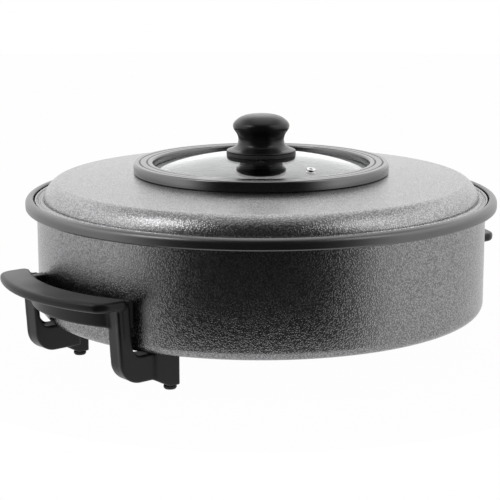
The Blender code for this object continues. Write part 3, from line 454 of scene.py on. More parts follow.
lidSettings = {
    "sheet": 1.2 * mm, "hole": 104 * mm, "crease": 181 * mm, "side": 194.5 * mm, "flange": 202 * mm,
    "topDrop": 5 * mm, "roundness": 1.6, "bead": 1.9 * mm, "ridge": 0.9 * mm,
    "screwRing": 109.5 * mm, "screwHole": 1.8 * mm}


def makeLid(s):
    # from the window's hole over the top, down a superellipse of a side and out along the beaded flange
    low = shell[0].z + s["sheet"]
    crease = lidTop - s["topDrop"]
    depth = crease - low
    width = s["side"] - s["crease"]
    inner = [(s["hole"], lidTop), (ringRadius - 3 * mm, lidTop)]
    flat = [(ringRadius + (s["crease"] - ringRadius) * a, lidTop - s["topDrop"] * a) for a in (0.03, 0.35, 0.7, 0.93)]
    turn = np.linspace(0, np.pi / 2, 14)[:-1]
    across = np.sin(turn) ** (2 / s["roundness"])
    down = 1 - np.cos(turn) ** (2 / s["roundness"])
    side = [(s["crease"] + width * a, crease - depth * d) for a, d in zip(across, down)]
    foot = s["side"] + s["sheet"]
    span = s["flange"] - foot
    edge = [
        (foot + 0.08 * span, low), (foot + 0.26 * span, low + s["ridge"] * 0.8),
        (foot + 0.36 * span, low + s["ridge"]),
        (foot + 0.46 * span, low + s["ridge"] * 0.3), (foot + 0.58 * span, low + 0.1 * mm),
        (foot + 0.72 * span, low + s["bead"] * 0.8), (foot + 0.86 * span, low + s["bead"]),
        (foot + 0.96 * span, low + s["bead"] * 0.72), (s["flange"], low)]
    outline = smoothThrough(inner + flat + side + edge, 4)
    lid = revolve("lidSkin", outline, 240, closed=False)
    if lid.data.polygons[0].normal.z < 0:
        lid.data.flip_normals()
    sheet(lid, s["sheet"])
    holes = [((x, y, lidTop), (0, 0, 1), s["screwHole"], 8 * mm) for x, y in squareRing(s["screwRing"])]
    return pierce(lid, holes)


dress(makeLid(lidSettings), "lid", lidPaintPaintedLight, "lid_paint", "lid_shell")
print("lid made")


# Window: ring with two grooves, domed glass, seal, retaining ring, eyelet

ringSettings = {
    "inner": 96.8 * mm, "height": 9.6 * mm, "grooves": (0.30, 0.68), "groove": 1.5 * mm, "grooveHalf": 0.055,
    "edge": 1.9 * mm, "step": 104.3 * mm, "screwHole": 1.8 * mm, "screwRing": 109.5 * mm}


def glassHeight(radius):
    return glassTop - np.asarray(radius) ** 2 / (2 * glassCurve)


def makeRing(s):
    # its top is flat less a cosine dip at each groove, and it rolls over at both edges
    width = ringRadius - s["inner"]
    top = lidTop + s["height"]
    share = np.linspace(0.0, 1.0, 61)
    dip = np.zeros_like(share)
    for middle in s["grooves"]:
        near = np.clip((share - middle) / s["grooveHalf"], -1, 1)
        dip += s["groove"] * (1 + np.cos(np.pi * near)) / 2
    for edge, way in ((0.0, 1), (1.0, -1)):
        inset = np.clip(1 - way * (share - edge) * width / s["edge"], 0, 1)
        dip += s["edge"] * (1 - np.sqrt(1 - inset ** 2))
    outline = [(s["inner"] + width * a, top - d) for a, d in zip(share, dip)]
    bottom = lidTop + fit
    outline += [(ringRadius, bottom + 0.5 * mm), (ringRadius - 0.5 * mm, bottom), (s["step"], bottom)]
    outline += [(radius, float(glassHeight(radius)) + fit) for radius in (glassRadius, s["inner"])]
    made = revolve("ringSkin", outline, 224)
    bottoms = [((x, y, lidTop + 0.5 * mm), (0, 0, 1), s["screwHole"], 9.6 * mm) for x, y in squareRing(s["screwRing"])]
    return pierce(made, bottoms)


dress(makeRing(ringSettings), "lid", ringCoat, "black_trim", "window_ring")

glassSettings = {"thickness": 4 * mm, "hole": 4 * mm, "edge": 0.6 * mm, "ventRadius": 67.5 * mm, "ventHole": 3.2 * mm}
ventPlace = Vector((0, -glassSettings["ventRadius"], float(glassHeight(glassSettings["ventRadius"]))))
ventWay = Vector((0, -glassSettings["ventRadius"], glassCurve)).normalized()


def makeGlass(s):
    # z(r) = top - r^2 / (2 curve) on both faces, with ground edges between them
    radii = np.linspace(s["hole"], glassRadius - s["edge"], 26)
    upper = np.stack([radii, glassHeight(radii)], 1)
    lower = upper[::-1] - np.array([0, s["thickness"]])
    rim = np.array([(glassRadius, float(glassHeight(glassRadius)) - s["edge"]),
                    (glassRadius, float(glassHeight(glassRadius)) + s["edge"] - s["thickness"])])
    made = revolve("glassSkin", np.vstack([upper, rim, lower]), 192)
    return pierce(made, [(ventPlace, ventWay, s["ventHole"], 16 * mm)])


dress(makeGlass(glassSettings), "lid", windowGlass, "tinted_glass", "window_glass")

sealSettings = {"inner": 96.8 * mm, "drop": 4.3 * mm}


def makeSeal(s):
    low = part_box("window_gasket")[0].z
    inner, outer = s["inner"], glassRadius
    outline = filleted([
        (inner, float(glassHeight(inner)) - s["drop"], 0.2 * mm),
        (outer, float(glassHeight(outer)) - s["drop"], 0.2 * mm),
        (outer, low, 0.2 * mm), (inner, low, 0.3 * mm)], 3)
    return revolve("sealSkin", outline, 160)


dress(makeSeal(sealSettings), "lid", sealRubber, "seal_silicone", "window_gasket")

retainerSettings = {"inner": 95 * mm, "outer": 113 * mm, "step": 103.9 * mm, "floor": 3.25 * mm,
                    "screwHole": 1.8 * mm, "screwRing": 109.5 * mm}


def makeRetainer(s):
    low, high = (corner.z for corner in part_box("retaining_ring"))
    shelf = low + s["floor"]
    outline = filleted([
        (s["inner"], shelf, 0.6 * mm), (s["step"], shelf, 0.3 * mm), (s["step"], high, 0.3 * mm),
        (s["outer"], high, 0.4 * mm), (s["outer"], low, 1.2 * mm), (s["inner"], low, 1.2 * mm)], 4)
    made = revolve("retainerSkin", outline, 192)
    return pierce(made, [((x, y, low), (0, 0, 1), s["screwHole"], 30 * mm) for x, y in squareRing(s["screwRing"])])


dress(makeRetainer(retainerSettings), "lid", ringCoat, "black_trim", "retaining_ring")

eyeletSettings = {"flange": 4.2 * mm, "sleeve": 2.9 * mm, "bore": 1.7 * mm, "lip": 0.7 * mm}


def makeEyelet(s):
    # a hollow rivet: rolled flange above, sleeve through the glass, rolled flange below
    below = -glassSettings["thickness"] - fit
    outline = filleted([
        (s["bore"], fit + s["lip"], 0.6 * mm), (s["flange"], fit + s["lip"], 0.45 * mm), (s["flange"], fit, 0.1 * mm),
        (s["sleeve"], fit, 0.1 * mm), (s["sleeve"], below, 0.1 * mm), (s["flange"], below, 0.1 * mm),
        (s["flange"], below - s["lip"], 0.45 * mm), (s["bore"], below - s["lip"], 0.6 * mm)], 4)
    made = revolve("eyeletSkin", outline, 40)
    turn = Vector((0, 0, 1)).rotation_difference(ventWay).to_matrix().to_4x4()
    made.data.transform(Matrix.Translation(ventPlace) @ turn)
    return made


dress(makeEyelet(eyeletSettings), "lid", eyeletSteel, "bright_metal", "vent_eyelet")
print("window made")


# Knob and its seal

knobSettings = {
    "height": 33.1 * mm, "bore": 2.8 * mm, "boreDepth": 16.7 * mm,
    "profile": [(0, 33.1), (4.6, 33.0), (9.2, 32.75), (13.2, 32.15), (16.8, 31.1), (19.8, 29.6), (22.3, 27.7),
                (24.2, 25.8), (25.15, 23.8), (25.2, 21.9), (24.6, 19.9), (23.2, 17.9), (21.8, 15.8), (20.8, 13.2),
                (20.5, 10.6), (20.7, 8.2), (22.0, 5.4), (25.4, 2.9), (29.4, 1.5), (30.8, 0.75)]}


def makeKnob(s):
    # turned through the profile's points: dome, head, waist and flared foot
    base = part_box("knob")[0].z
    curve = smoothThrough(np.array(s["profile"]) * mm, 4) + np.array([0, base])
    curve[0, 0] = 0
    tail = [(30.8 * mm, base + 0.2 * mm), (30.5 * mm, base), (s["bore"], base), (s["bore"], base + s["boreDepth"]),
            (0, base + s["boreDepth"])]
    return revolve("knobSkin", np.vstack([curve, tail]), 128, closed=False)


dress(makeKnob(knobSettings), "lid", knobResin, "bakelite", "knob")

knobSealSettings = {"radius": 31 * mm, "height": 1.8 * mm, "hole": 8 * mm}


def makeKnobSeal(s):
    top = glassTop + s["height"]
    radii = np.linspace(s["radius"], s["hole"], 7)
    outline = [(s["hole"], top), (s["radius"] - 0.5 * mm, top), (s["radius"], top - 0.5 * mm)]
    outline += list(zip(radii, glassHeight(radii) + fit))
    return revolve("knobSealSkin", outline, 128)


dress(makeKnobSeal(knobSealSettings), "lid", sealRubber, "seal_silicone", "knob_gasket")
print("knob made")


# Handles: one moulding each, worked out as a distance field and meshed where the field is zero

handleSettings = {
    "cell": 0.95 * mm, "top": 84 * mm, "grip": 8 * mm, "gripRound": 3.0 * mm, "gripCorner": 8 * mm,
    "innerReach": 218 * mm, "innerBow": 21.2 * mm, "innerHalf": 76.2 * mm,
    "outerReach": 246 * mm, "outerBow": 20.2 * mm, "outerHalf": 77.7 * mm,
    "skirtReach": 223 * mm, "skirtBow": 17 * mm, "skirtHalf": 60.2 * mm, "skirt": 5 * mm, "skirtBottom": 58 * mm,
    "legReach": 207.2 * mm, "legLean": 4.5 * mm, "legWall": 5 * mm, "legInner": 55.2 * mm, "legWidth": 17 * mm,
    "endWall": 4.5 * mm, "endWallDepth": 12 * mm, "legOuterCorner": 17 * mm, "legInnerCorner": 9 * mm,
    "toeLow": 12 * mm, "toeHigh": 34 * mm, "blockIn": 147 * mm, "blockOut": 172 * mm,
    "blockInner": 61 * mm, "blockWidth": 13 * mm, "sole": 3.4 * mm, "heel": 11.5 * mm, "slope": 15 * mm,
    "webReach": 202 * mm, "webInner": 57 * mm, "webWidth": 10.7 * mm, "edge": 1.6 * mm, "blend": 2.2 * mm,
    "padReach": 153 * mm, "padHole": 3 * mm, "padDepth": 9.3 * mm}


def joined(a, b, r):
    # union of two solids with a fillet of radius r where they meet
    return np.maximum(r, np.minimum(a, b)) - np.hypot(np.maximum(r - a, 0), np.maximum(r - b, 0))


def common(a, b, r):
    # intersection of two solids with its new edge rounded to radius r
    return np.minimum(-r, np.maximum(a, b)) + np.hypot(np.maximum(r + a, 0), np.maximum(r + b, 0))


def slab(value, low, high):
    return np.maximum(low - value, value - high)


def outsideBow(x, y, reach, sagitta, half):
    # distance outwards from a bow: an arc that stands furthest out in its middle
    radius = (half ** 2 + sagitta ** 2) / (2 * sagitta)
    return np.hypot(x - (reach - radius), y) - radius


def handleField(x, y, z, s):
    side = np.abs(y)
    under = s["top"] - s["grip"]
    plan = common(outsideBow(x, y, s["outerReach"], s["outerBow"], s["outerHalf"]),
                  -outsideBow(x, y, s["innerReach"], s["innerBow"], s["innerHalf"]), 0.5 * mm)
    plan = common(plan, side - s["outerHalf"], s["gripCorner"])
    grip = common(plan, slab(z, under, s["top"]), s["gripRound"])
    outer = outsideBow(x, y, s["skirtReach"], s["skirtBow"], s["skirtHalf"])
    band = common(np.maximum(outer, -outer - s["skirt"]), side - s["skirtHalf"], s["edge"])
    skirt = common(band, slab(z, s["skirtBottom"], s["top"] - s["grip"] / 2), s["edge"])
    legTop = s["top"] - s["grip"] / 2
    front = x - s["legReach"] + s["legLean"] * (legTop - z) / (legTop - s["toeLow"])
    outline = common(front, s["toeLow"] - z, s["legOuterCorner"])
    outline = common(outline, (s["blockIn"] + s["blockOut"]) / 2 - x, 0.5 * mm)
    legSide = s["legInner"] + s["legWidth"]
    legs = None
    for depth, inner in ((s["legWall"], s["legInner"]), (s["endWallDepth"], legSide - s["endWall"])):
        notch = common(front + depth, s["toeHigh"] - z, s["legInnerCorner"])
        angle = common(common(outline, -notch, 0.5 * mm), slab(side, inner, legSide), s["edge"])
        legs = angle if legs is None else joined(legs, angle, 0.8 * mm)
    legs = np.maximum(legs, z - legTop)
    rise = (s["heel"] - s["sole"]) / s["slope"]
    sole = (s["sole"] + rise * (x - (s["blockOut"] - s["slope"])) - z) / math.hypot(1, rise)
    shape = common(slab(x, s["blockIn"], s["blockOut"]), np.maximum(s["sole"] - z, sole), 1.2 * mm)
    blocks = common(shape, slab(side, s["blockInner"], s["blockInner"] + s["blockWidth"]), s["edge"])
    webs = np.maximum(slab(x, 170 * mm, s["webReach"]), slab(side, s["webInner"], s["webInner"] + s["webWidth"]))
    webs = np.maximum(webs, slab(z, s["skirtBottom"] - fit, s["top"] - s["grip"] / 2))
    whole = joined(joined(grip, skirt, s["blend"]), joined(legs, webs, s["blend"]), s["blend"])
    whole = joined(whole, blocks, s["blend"])
    away = np.hypot(x, y)
    wallTurn = wallSettings["corner"] + fit
    casingRoom = common(away - casingRadius - fit, wallSettings["bottom"] - fit - z, wallTurn)
    whole = np.maximum(whole, -casingRoom)
    stem = np.hypot(x - s["padReach"], side - s["blockInner"] - s["blockWidth"] / 2) - s["padHole"]
    whole = np.maximum(whole, -np.maximum(stem, z - s["padDepth"]))
    for place, way in handleAxes(wallSettings, (0.0,)):
        alongX, alongY, alongZ = (value - start for value, start in zip((x, y, z), place))
        depth = alongX * way.x + alongY * way.y
        off = np.sqrt((alongX - depth * way.x) ** 2 + (alongY - depth * way.y) ** 2 + alongZ ** 2)
        whole = np.maximum(whole, -np.maximum(off - wallSettings["handleHole"], depth - 6.6 * mm))
    return whole


def zeroSurface(field, start, cell):
    # surface nets: a cell whose corners change sign gets one point, the mean of its edges' crossings
    inside = field < 0
    corner = [np.array([i >> 2 & 1, i >> 1 & 1, i & 1]) for i in range(8)]
    size = np.array(field.shape) - 1
    count = sum(inside[c[0]:c[0] + size[0], c[1]:c[1] + size[1], c[2]:c[2] + size[2]].astype(np.int8) for c in corner)
    active = (count > 0) & (count < 8)
    cells = np.argwhere(active)
    number = np.full(active.shape, -1)
    number[active] = np.arange(len(cells))
    total = np.zeros((len(cells), 3))
    crossings = np.zeros(len(cells))
    for a in range(8):
        for axis in range(3):
            if corner[a][axis]:
                continue
            first = cells + corner[a]
            last = first.copy()
            last[:, axis] += 1
            f, g = field[tuple(first.T)], field[tuple(last.T)]
            hit = (f < 0) != (g < 0)
            share = np.where(hit, f / np.where(hit, f - g, 1.0), 0.0)
            here = corner[a] + share[:, None] * np.eye(3)[axis]
            total += np.where(hit[:, None], here, 0.0)
            crossings += hit
    points = (cells + total / crossings[:, None]) * cell + np.array(start)
    quads = []
    for axis in range(3):
        b, c = (axis + 1) % 3, (axis + 2) % 3
        low, high = [slice(1, -1)] * 3, [slice(1, -1)] * 3
        low[axis], high[axis] = slice(0, -1), slice(1, None)
        change = inside[tuple(low)] != inside[tuple(high)]
        at = np.argwhere(change)
        shift = np.array([1, 1, 1])
        shift[axis] = 0
        at = at + shift
        stepB, stepC = np.eye(3, dtype=int)[b], np.eye(3, dtype=int)[c]
        quad = np.stack([number[tuple((at - back).T)] for back in (stepB * 0, stepB, stepB + stepC, stepC)], 1)
        outward = inside[tuple(at.T)]
        quads.append(np.where(outward[:, None], quad, quad[:, ::-1]))
    return points, np.vstack(quads)


def handleShape(s):
    step = 3 * s["cell"]
    reach = s["outerHalf"] + step
    low = (s["blockIn"] - step, -reach, s["sole"] - step)
    high = (s["outerReach"] + step, reach, s["top"] + step)
    axes = [np.arange(a, b + s["cell"], s["cell"]) for a, b in zip(low, high)]
    x, y, z = np.meshgrid(*axes, indexing="ij", sparse=True)
    field = handleField(x, y, z, s)
    return zeroSurface(field, low, s["cell"])


handlePoints, handleQuads = handleShape(handleSettings)
rightHandle = meshPiece("rightMoulding", handlePoints, handleQuads, 60)
leftHandle = meshPiece("leftMoulding", handlePoints * np.array([-1, -1, 1]), handleQuads, 60)
dress(rightHandle, "pan", bakelite, "bakelite", "right_handle")
dress(leftHandle, "pan", bakelite, "bakelite", "left_handle")
print("handles made:", len(handlePoints), "points each")


# Foot pads

padSettings = {"radius": 5.5 * mm, "face": 4.6 * mm, "stem": 2.7 * mm, "seat": 3.1 * mm, "high": 9 * mm,
               "dish": 0.35 * mm}


def makePad(s, name, place):
    # a button with a rounded shoulder, a shallow dish in its sole, and its stem above
    outline = filleted([
        (0, s["high"], 0), (s["stem"], s["high"], 0.6 * mm), (s["stem"], s["seat"], 0),
        (s["radius"], s["seat"], 0.4 * mm),
        (s["radius"], 1.2 * mm, 0.6 * mm), (s["face"], 0, 0.5 * mm), (s["face"] * 0.7, 0, 0.4 * mm),
        (s["face"] * 0.55, s["dish"], 0.4 * mm), (0, s["dish"], 0)], 4, closed=False)
    return revolve(name, outline, 40, closed=False, place=place)


padSide = handleSettings["blockInner"] + handleSettings["blockWidth"] / 2
padNumber = 0
for padX in (handleSettings["padReach"], -handleSettings["padReach"]):
    for padY in (-padSide, padSide):
        padNumber += 1
        pad = makePad(padSettings, f"padSkin{padNumber}", (padX, padY, 0))
        dress(pad, "pan", padRubber, "pad_rubber", f"foot_pad_{padNumber}")
print("foot pads made")


# Inlet at the back

inletSettings = {"halfWide": 26 * mm, "halfTall": 12 * mm, "corner": 5 * mm, "side": 5 * mm, "cap": 3.5 * mm,
                 "floor": 10 * mm, "lip": 0.8 * mm, "pin": 3 * mm, "pinApart": 14 * mm, "sleeve": 5 * mm,
                 "bore": 3.5 * mm, "sleeveStart": 150 * mm, "sleeveEnd": 200 * mm, "pinEnd": 204 * mm}
inletLow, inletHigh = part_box("inlet_housing")
inletLevel = (inletLow.z + inletHigh.z) / 2


def squircle(halfWide, halfTall, corner, steps=9):
    # a rectangle's outline whose corners are arcs, anticlockwise seen from the front
    turns = np.linspace(0, np.pi / 2, steps)
    parts = []
    for quarter, (sx, sz) in enumerate(((1, 1), (-1, 1), (-1, -1), (1, -1))):
        a = turns + quarter * np.pi / 2
        across = sx * (halfWide - corner) + corner * np.cos(a)
        upwards = sz * (halfTall - corner) + corner * np.sin(a)
        parts.append(np.stack([across, upwards], 1))
    return np.vstack(parts)


def makeHousing(s):
    # loops of one rounded rectangle, each (inset, y): back face, outside, lip, cavity wall, cavity floor
    back, front = inletLow.y, inletHigh.y
    wide, tall, lip = s["halfWide"], s["halfTall"], s["lip"]
    inWide, inTall = wide - s["side"], tall - s["cap"]
    loops = [(0.02 * wide, 0.02 * tall, 0.1 * mm, back), (wide - lip, tall - lip, s["corner"], back),
             (wide, tall, s["corner"], back + lip), (wide, tall, s["corner"], front - lip),
             (wide - 0.3 * lip, tall - 0.3 * lip, s["corner"], front - 0.3 * lip),
             (wide - lip, tall - lip, s["corner"], front), (inWide + lip, inTall + lip, 3 * mm, front),
             (inWide + 0.3 * lip, inTall + 0.3 * lip, 2.6 * mm, front - 0.3 * lip),
             (inWide, inTall, 2.4 * mm, front - lip),
             (inWide, inTall, 2.4 * mm, back + s["floor"] + lip),
             (inWide - lip, inTall - lip, 2 * mm, back + s["floor"]),
             (0.02 * wide, 0.02 * tall, 0.1 * mm, back + s["floor"])]
    rows = []
    for halfWide, halfTall, corner, y in loops:
        flat = squircle(halfWide, halfTall, min(corner, halfTall * 0.95))
        rows.append(np.stack([flat[:, 0], np.full(len(flat), y), flat[:, 1] + inletLevel], 1))
    points = np.vstack(rows)
    size = len(rows[0])
    quads = gridQuads(len(rows), size, False, True)
    made = meshPiece("housingSkin", points, quads)
    shape = bmesh.new()
    shape.from_mesh(made.data)
    bmesh.ops.holes_fill(shape, edges=[e for e in shape.edges if e.is_boundary])
    bmesh.ops.recalc_face_normals(shape, faces=shape.faces)
    shape.to_mesh(made.data)
    shape.free()
    way = (0, 1, 0)
    middle = back + s["floor"] / 2
    holes = [((x, middle, inletLevel), way, s["pin"] + fit, 20 * mm) for x in (-s["pinApart"], s["pinApart"])]
    holes.append(((0, middle, inletLevel), way, s["sleeve"] + fit, 20 * mm))
    return pierce(made, holes)


def makeAlongY(name, outline, x, start, steps=40, closed=False):
    # a turned piece laid along +Y from start
    made = revolve(name, outline, steps, closed=closed)
    made.data.transform(Matrix.Translation((x, start, inletLevel)) @ Matrix.Rotation(-math.pi / 2, 4, "X"))
    return made


def makeInlet(s):
    dress(makeHousing(s), "pan", housingPlastic, "housing_plastic", "inlet_housing")
    length = s["pinEnd"] - inletLow.y
    corners = [(0, length, 0), (s["pin"], length, 1.4 * mm), (s["pin"], 0, 0.2 * mm), (0, 0, 0)]
    outline = filleted(corners, 5, closed=False)
    for name, side in (("live_pin", -1), ("neutral_pin", 1)):
        pin = makeAlongY(name.replace("_pin", "PinSkin"), outline, side * s["pinApart"], inletLow.y)
        dress(pin, "pan", contactBrass, "contact_brass", name)
    length = s["sleeveEnd"] - s["sleeveStart"]
    outline = filleted([(s["bore"], length, 0.5 * mm), (s["sleeve"], length, 0.5 * mm), (s["sleeve"], 0, 0.2 * mm),
                        (s["bore"], 0, 0.2 * mm)], 4)
    sleeve = makeAlongY("sleeveSkin", outline, 0, s["sleeveStart"], closed=True)
    dress(sleeve, "pan", brightSteel, "fastener_steel", "probe_sleeve")


makeInlet(inletSettings)
print("inlet made")


# Fasteners and the base

screwSettings = {
    "small": {"shank": 1.5 * mm, "head": 3 * mm, "tall": 1.6 * mm, "slot": 0.35 * mm},
    "handle": {"shank": 2 * mm, "head": 3.6 * mm, "tall": 1.6 * mm, "slot": 0.4 * mm},
    "knob": {"shank": 2.5 * mm, "head": 6 * mm, "tall": 3.8 * mm, "slot": 0.6 * mm},
    "bolt": {"shank": 3 * mm, "head": 6 * mm, "tall": 4.5 * mm, "slot": 0.7 * mm}}


def makeScrew(s, name, node, seat, way=(0, 0, 1)):
    # head below its seat with a cross recess, threaded shank above; the thread is a train of small ridges
    length = max((corner - seat).length for corner in nodeEnds(node, seat, way))
    shank, head, tall = s["shank"], s["head"], s["tall"]
    ridges = np.arange(1.5 * shank, length - 0.8 * shank, 0.35 * shank)
    thread = [(shank * (1.0 if i % 2 else 0.86), z) for i, z in enumerate(ridges)]
    outline = [(0, length), (shank * 0.5, length), (shank * 0.86, length - 0.6 * shank)] + thread[::-1]
    outline += [(shank, shank), (shank, 0)]
    outline += [tuple(p) for p in filleted([(shank, 0, 0), (head, 0, 0.15 * mm), (head, -tall, tall * 0.55),
                                            (0, -tall, 0)], 5, closed=False)[1:]]
    made = revolve(name, outline, 32, closed=False)
    recess = bpy.data.meshes.new("recess")
    shape = bmesh.new()
    for across in ((1, 0), (0, 1)):
        half = Vector((head * 0.55 if across[0] else s["slot"], head * 0.55 if across[1] else s["slot"], tall * 0.45))
        box = bmesh.ops.create_cube(shape, size=2.0)["verts"]
        bmesh.ops.scale(shape, vec=half, verts=box)
        bmesh.ops.translate(shape, vec=(0, 0, -tall), verts=box)
    shape.to_mesh(recess)
    shape.free()
    cutter = bpy.data.objects.new("recess", recess)
    bpy.context.scene.collection.objects.link(cutter)
    cut = made.modifiers.new("recess", "BOOLEAN")
    cut.object = cutter
    cut.solver = "EXACT"
    cut.use_self = True
    applyModifiers(made)
    bpy.data.objects.remove(cutter, do_unlink=True)
    turn = Vector((0, 0, 1)).rotation_difference(Vector(way)).to_matrix().to_4x4()
    made.data.transform(Matrix.Translation(seat) @ turn)
    return made


def nodeEnds(node, seat, way):
    # the node's furthest point along the screw's direction, as a place on its axis
    way = Vector(way).normalized()
    furthest = max((vertex.co - seat).dot(way) for vertex in nodes[node].data.vertices)
    return [seat + way * furthest]


def fitScrews():
    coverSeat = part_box("base_cover")[0].z - fit
    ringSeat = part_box("retaining_ring")[0].z - fit
    plan = []
    for number, (x, y) in enumerate(squareRing(wallSettings["screwRing"]), 1):
        plan.append(("small", f"cover_screw_{number}", "pan", Vector((x, y, coverSeat)), (0, 0, 1)))
    for number, (x, y) in enumerate(squareRing(ringSettings["screwRing"]), 1):
        plan.append(("small", f"ring_screw_{number}", "lid", Vector((x, y, ringSeat)), (0, 0, 1)))
    for number, (place, way) in enumerate(handleAxes(wallSettings), 1):
        seat = place - way * (wallSettings["sheet"] + 2 * fit)
        plan.append(("handle", f"handle_screw_{number}", "pan", seat, tuple(way)))
    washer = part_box("knob_washer")[0].z
    plan.append(("knob", "knob_screw", "lid", Vector((0, 0, washer - fit)), (0, 0, 1)))
    plan.append(("bolt", "centre_bolt", "pan", Vector((0, 0, coverSeat)), (0, 0, 1)))
    for kind, node, body, seat, way in plan:
        words = node.split("_")
        name = words[0] + "".join(word.capitalize() for word in words[1:]) + "Skin"
        dress(makeScrew(screwSettings[kind], name, node, seat, way), body, brightSteel, "fastener_steel", node)


fitScrews()

baseSettings = {"radius": 156 * mm, "hole": 3.3 * mm, "edge": 0.5 * mm}


def makeBase(s):
    low, high = (corner.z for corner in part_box("base_cover"))
    outline = filleted([(s["hole"], high, 0), (s["radius"], high, s["edge"]), (s["radius"], low, s["edge"]),
                        (s["hole"], low, 0.3 * mm)], 3)
    base = revolve("baseSkin", outline, 200)
    return pierce(base, [((x, y, low), (0, 0, 1), 1.8 * mm, 8 * mm) for x, y in squareRing(wallSettings["screwRing"])])


dress(makeBase(baseSettings), "pan", coverSteel, "cover_steel", "base_cover")

washerSettings = {"radius": 11 * mm, "hole": 2.8 * mm}


def makeWasher(s):
    low, high = (corner.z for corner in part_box("knob_washer"))
    outline = filleted([(s["hole"], high, 0), (s["radius"], high, 0.25 * mm), (s["radius"], low, 0.25 * mm),
                        (s["hole"], low, 0.2 * mm)], 3)
    return revolve("washerSkin", outline, 64)


dress(makeWasher(washerSettings), "lid", brightSteel, "fastener_steel", "knob_washer")


def finishNode(name, material):
    nodes[name].data.materials.clear()
    nodes[name].data.materials.append(material)


for name, material in (("heating_element", elementSteel), ("element_tray", traySteel), ("centre_spacer", brightSteel)):
    finishNode(name, material)
print("fasteners and base made")


# Floor, surroundings, lamps and camera

stageSettings = {"reach": 3.0, "front": 0.31, "floor": (0.80, 0.80, 0.80), "glow": 0.98}


def makeFloor(s):
    # a table top round the pan: wide at the back and sides
    steps = 96
    turn = np.linspace(0, 2 * np.pi, steps, endpoint=False)
    ahead = np.cos(turn - math.atan2(towardsCamera.y, towardsCamera.x))
    share = np.clip((ahead + 0.2) / 0.9, 0, 1)
    radius = s["reach"] * (1 - share) + s["front"] * share
    points = [(r * math.cos(a), r * math.sin(a), 0.0) for r, a in zip(radius, turn)]
    mesh = bpy.data.meshes.new("tableTop")
    mesh.from_pydata(points, [], [list(range(steps))])
    table = bpy.data.objects.new("tableTop", mesh)
    bpy.context.scene.collection.objects.link(table)
    finish = Finish("tableWhite", s["floor"], 0.6)
    seen = finish.node("LightPath")
    direct = finish.sum(finish.sum(seen.outputs["Is Camera Ray"], seen.outputs["Is Glossy Ray"], "MAXIMUM"),
                        seen.outputs["Is Transmission Ray"], "MAXIMUM")
    glow = finish.node("Emission", {"Strength": 1.0})
    mix = finish.node("MixShader")
    share = finish.sum(direct, s["glow"], "MULTIPLY")
    finish.tree.links.new(share, mix.inputs["Fac"])
    finish.tree.links.new(finish.shader.outputs["BSDF"], mix.inputs[1])
    finish.tree.links.new(glow.outputs["Emission"], mix.inputs[2])
    output = next(n for n in finish.tree.nodes if n.type == "OUTPUT_MATERIAL")
    finish.tree.links.new(mix.outputs["Shader"], output.inputs["Surface"])
    table.data.materials.append(finish.material)
    return table


roomSettings = {
    "turn": 2, "darkFrom": 0.28, "darkTo": 0.80, "dark": 0.98, "wall": 1.25, "ceiling": 1.70, "overhead": 0.40,
    "soft": 0.45}


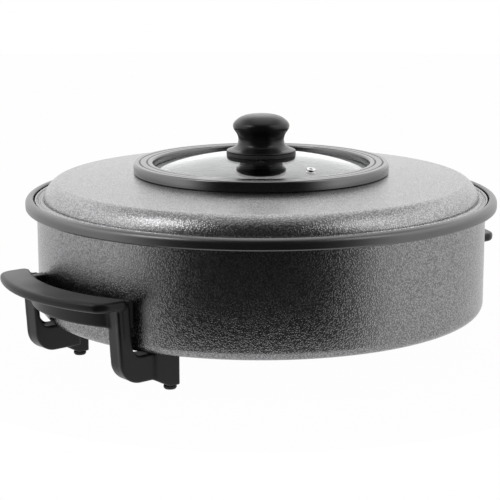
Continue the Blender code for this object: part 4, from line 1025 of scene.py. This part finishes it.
def makeSurroundings(s):
    # white all round for the camera; in gloss, a bright ceiling and sides with a dark part of the room in front
    darkTurn = math.radians(s["turn"])
    world = bpy.data.worlds.new("studio")
    bpy.context.scene.world = world
    world.use_nodes = True
    tree = world.node_tree
    tree.nodes.clear()

    def add(kind, **settings):
        made = tree.nodes.new("ShaderNode" + kind)
        for key, value in settings.items():
            setattr(made, key, value)
        return made

    def math2(kind, a, b):
        made = add("Math", operation=kind)
        for socket, value in zip(made.inputs, (a, b)):
            if isinstance(value, (int, float)):
                socket.default_value = value
            else:
                tree.links.new(value, socket)
        return made.outputs[0]

    def ramp(value, low, high, toLow, toHigh):
        made = add("MapRange", interpolation_type="SMOOTHSTEP")
        for key, number in (("From Min", low), ("From Max", high), ("To Min", toLow), ("To Max", toHigh)):
            made.inputs[key].default_value = number
        tree.links.new(value, made.inputs["Value"])
        return made.outputs["Result"]

    where = add("TexCoord").outputs["Generated"]

    def along(direction):
        made = add("VectorMath", operation="DOT_PRODUCT")
        tree.links.new(where, made.inputs[0])
        made.inputs[1].default_value = direction
        return made.outputs["Value"]

    up = along((0, 0, 1))
    front = along(towardsCamera * math.cos(darkTurn) - towardsRight * math.sin(darkTurn))
    flat = math2("SQRT", math2("MAXIMUM", math2("SUBTRACT", 1.0, math2("MULTIPLY", up, up)), 0.0001), 0.0)
    facing = math2("DIVIDE", front, flat)
    inFront = ramp(facing, s["darkFrom"], s["darkTo"], 0.0, 1.0)
    high = ramp(up, 0.88, 0.995, 0.0, 1.0)
    overhead = ramp(up, 0.45, 0.90, 1.0, s["overhead"])
    ceiling = math2("MULTIPLY", ramp(up, 0.25, 0.55, s["wall"], s["ceiling"]), overhead)
    darkness = math2("MULTIPLY", inFront, math2("SUBTRACT", 1.0, high))
    gloss = math2("MULTIPLY", ceiling, math2("SUBTRACT", 1.0, math2("MULTIPLY", darkness, s["dark"])))
    path = add("LightPath")
    direct = math2("MAXIMUM", path.outputs["Is Glossy Ray"], path.outputs["Is Transmission Ray"])
    soft = math2("MULTIPLY", s["soft"], math2("SUBTRACT", 1.0, direct))
    strength = math2("ADD", math2("MULTIPLY", gloss, direct), soft)
    camera = path.outputs["Is Camera Ray"]
    strength = math2("ADD", math2("MULTIPLY", strength, math2("SUBTRACT", 1.0, camera)), camera)
    background = add("Background")
    background.inputs["Color"].default_value = (1.0, 1.0, 1.0, 1.0)
    tree.links.new(strength, background.inputs["Strength"])
    tree.links.new(background.outputs["Background"], add("OutputWorld").inputs["Surface"])


lampSettings = {
    "left": {"turn": -59, "high": 46, "far": 1.7, "size": 0.55, "power": 3.2},
    "right": {"turn": 55, "high": 44, "far": 1.8, "size": 0.55, "power": 1.4},
    "top": {"turn": 170, "high": 72, "far": 1.9, "size": 1.3, "power": 3.0}}


def makeLamps(settings):
    for name, s in settings.items():
        turn, high = math.radians(s["turn"]), math.radians(s["high"])
        level = towardsCamera * math.cos(turn) + towardsRight * math.sin(turn)
        place = (level * math.cos(high) + Vector((0, 0, math.sin(high)))) * s["far"]
        data = bpy.data.lights.new(name + "Lamp", "AREA")
        data.shape = "DISK"
        data.size = s["size"]
        data.energy = s["power"]
        lamp = bpy.data.objects.new(name + "Lamp", data)
        lamp.location = place
        lamp.rotation_euler = (-place).to_track_quat("-Z", "Y").to_euler()
        bpy.context.scene.collection.objects.link(lamp)


cameraSettings = {"away": 1.424, "height": 0.389, "down": 12.06, "focalPixels": 1608, "axisX": 261.15, "frame": 500}


def makeCamera(s):
    data = bpy.data.cameras.new("photoCamera")
    data.sensor_width = 36
    data.lens = s["focalPixels"] * data.sensor_width / s["frame"]
    data.shift_x = (s["frame"] / 2 - s["axisX"]) / s["frame"]
    camera = bpy.data.objects.new("photoCamera", data)
    camera.location = towardsCamera * s["away"] + Vector((0, 0, s["height"]))
    camera.rotation_euler = (math.radians(90 - s["down"]), 0, -photoTurn)
    bpy.context.scene.collection.objects.link(camera)
    bpy.context.scene.camera = camera


makeFloor(stageSettings)
makeSurroundings(roomSettings)
makeLamps(lampSettings)
makeCamera(cameraSettings)
bpy.context.scene.view_settings.view_transform = "Standard"
print("stage, lamps and camera set")
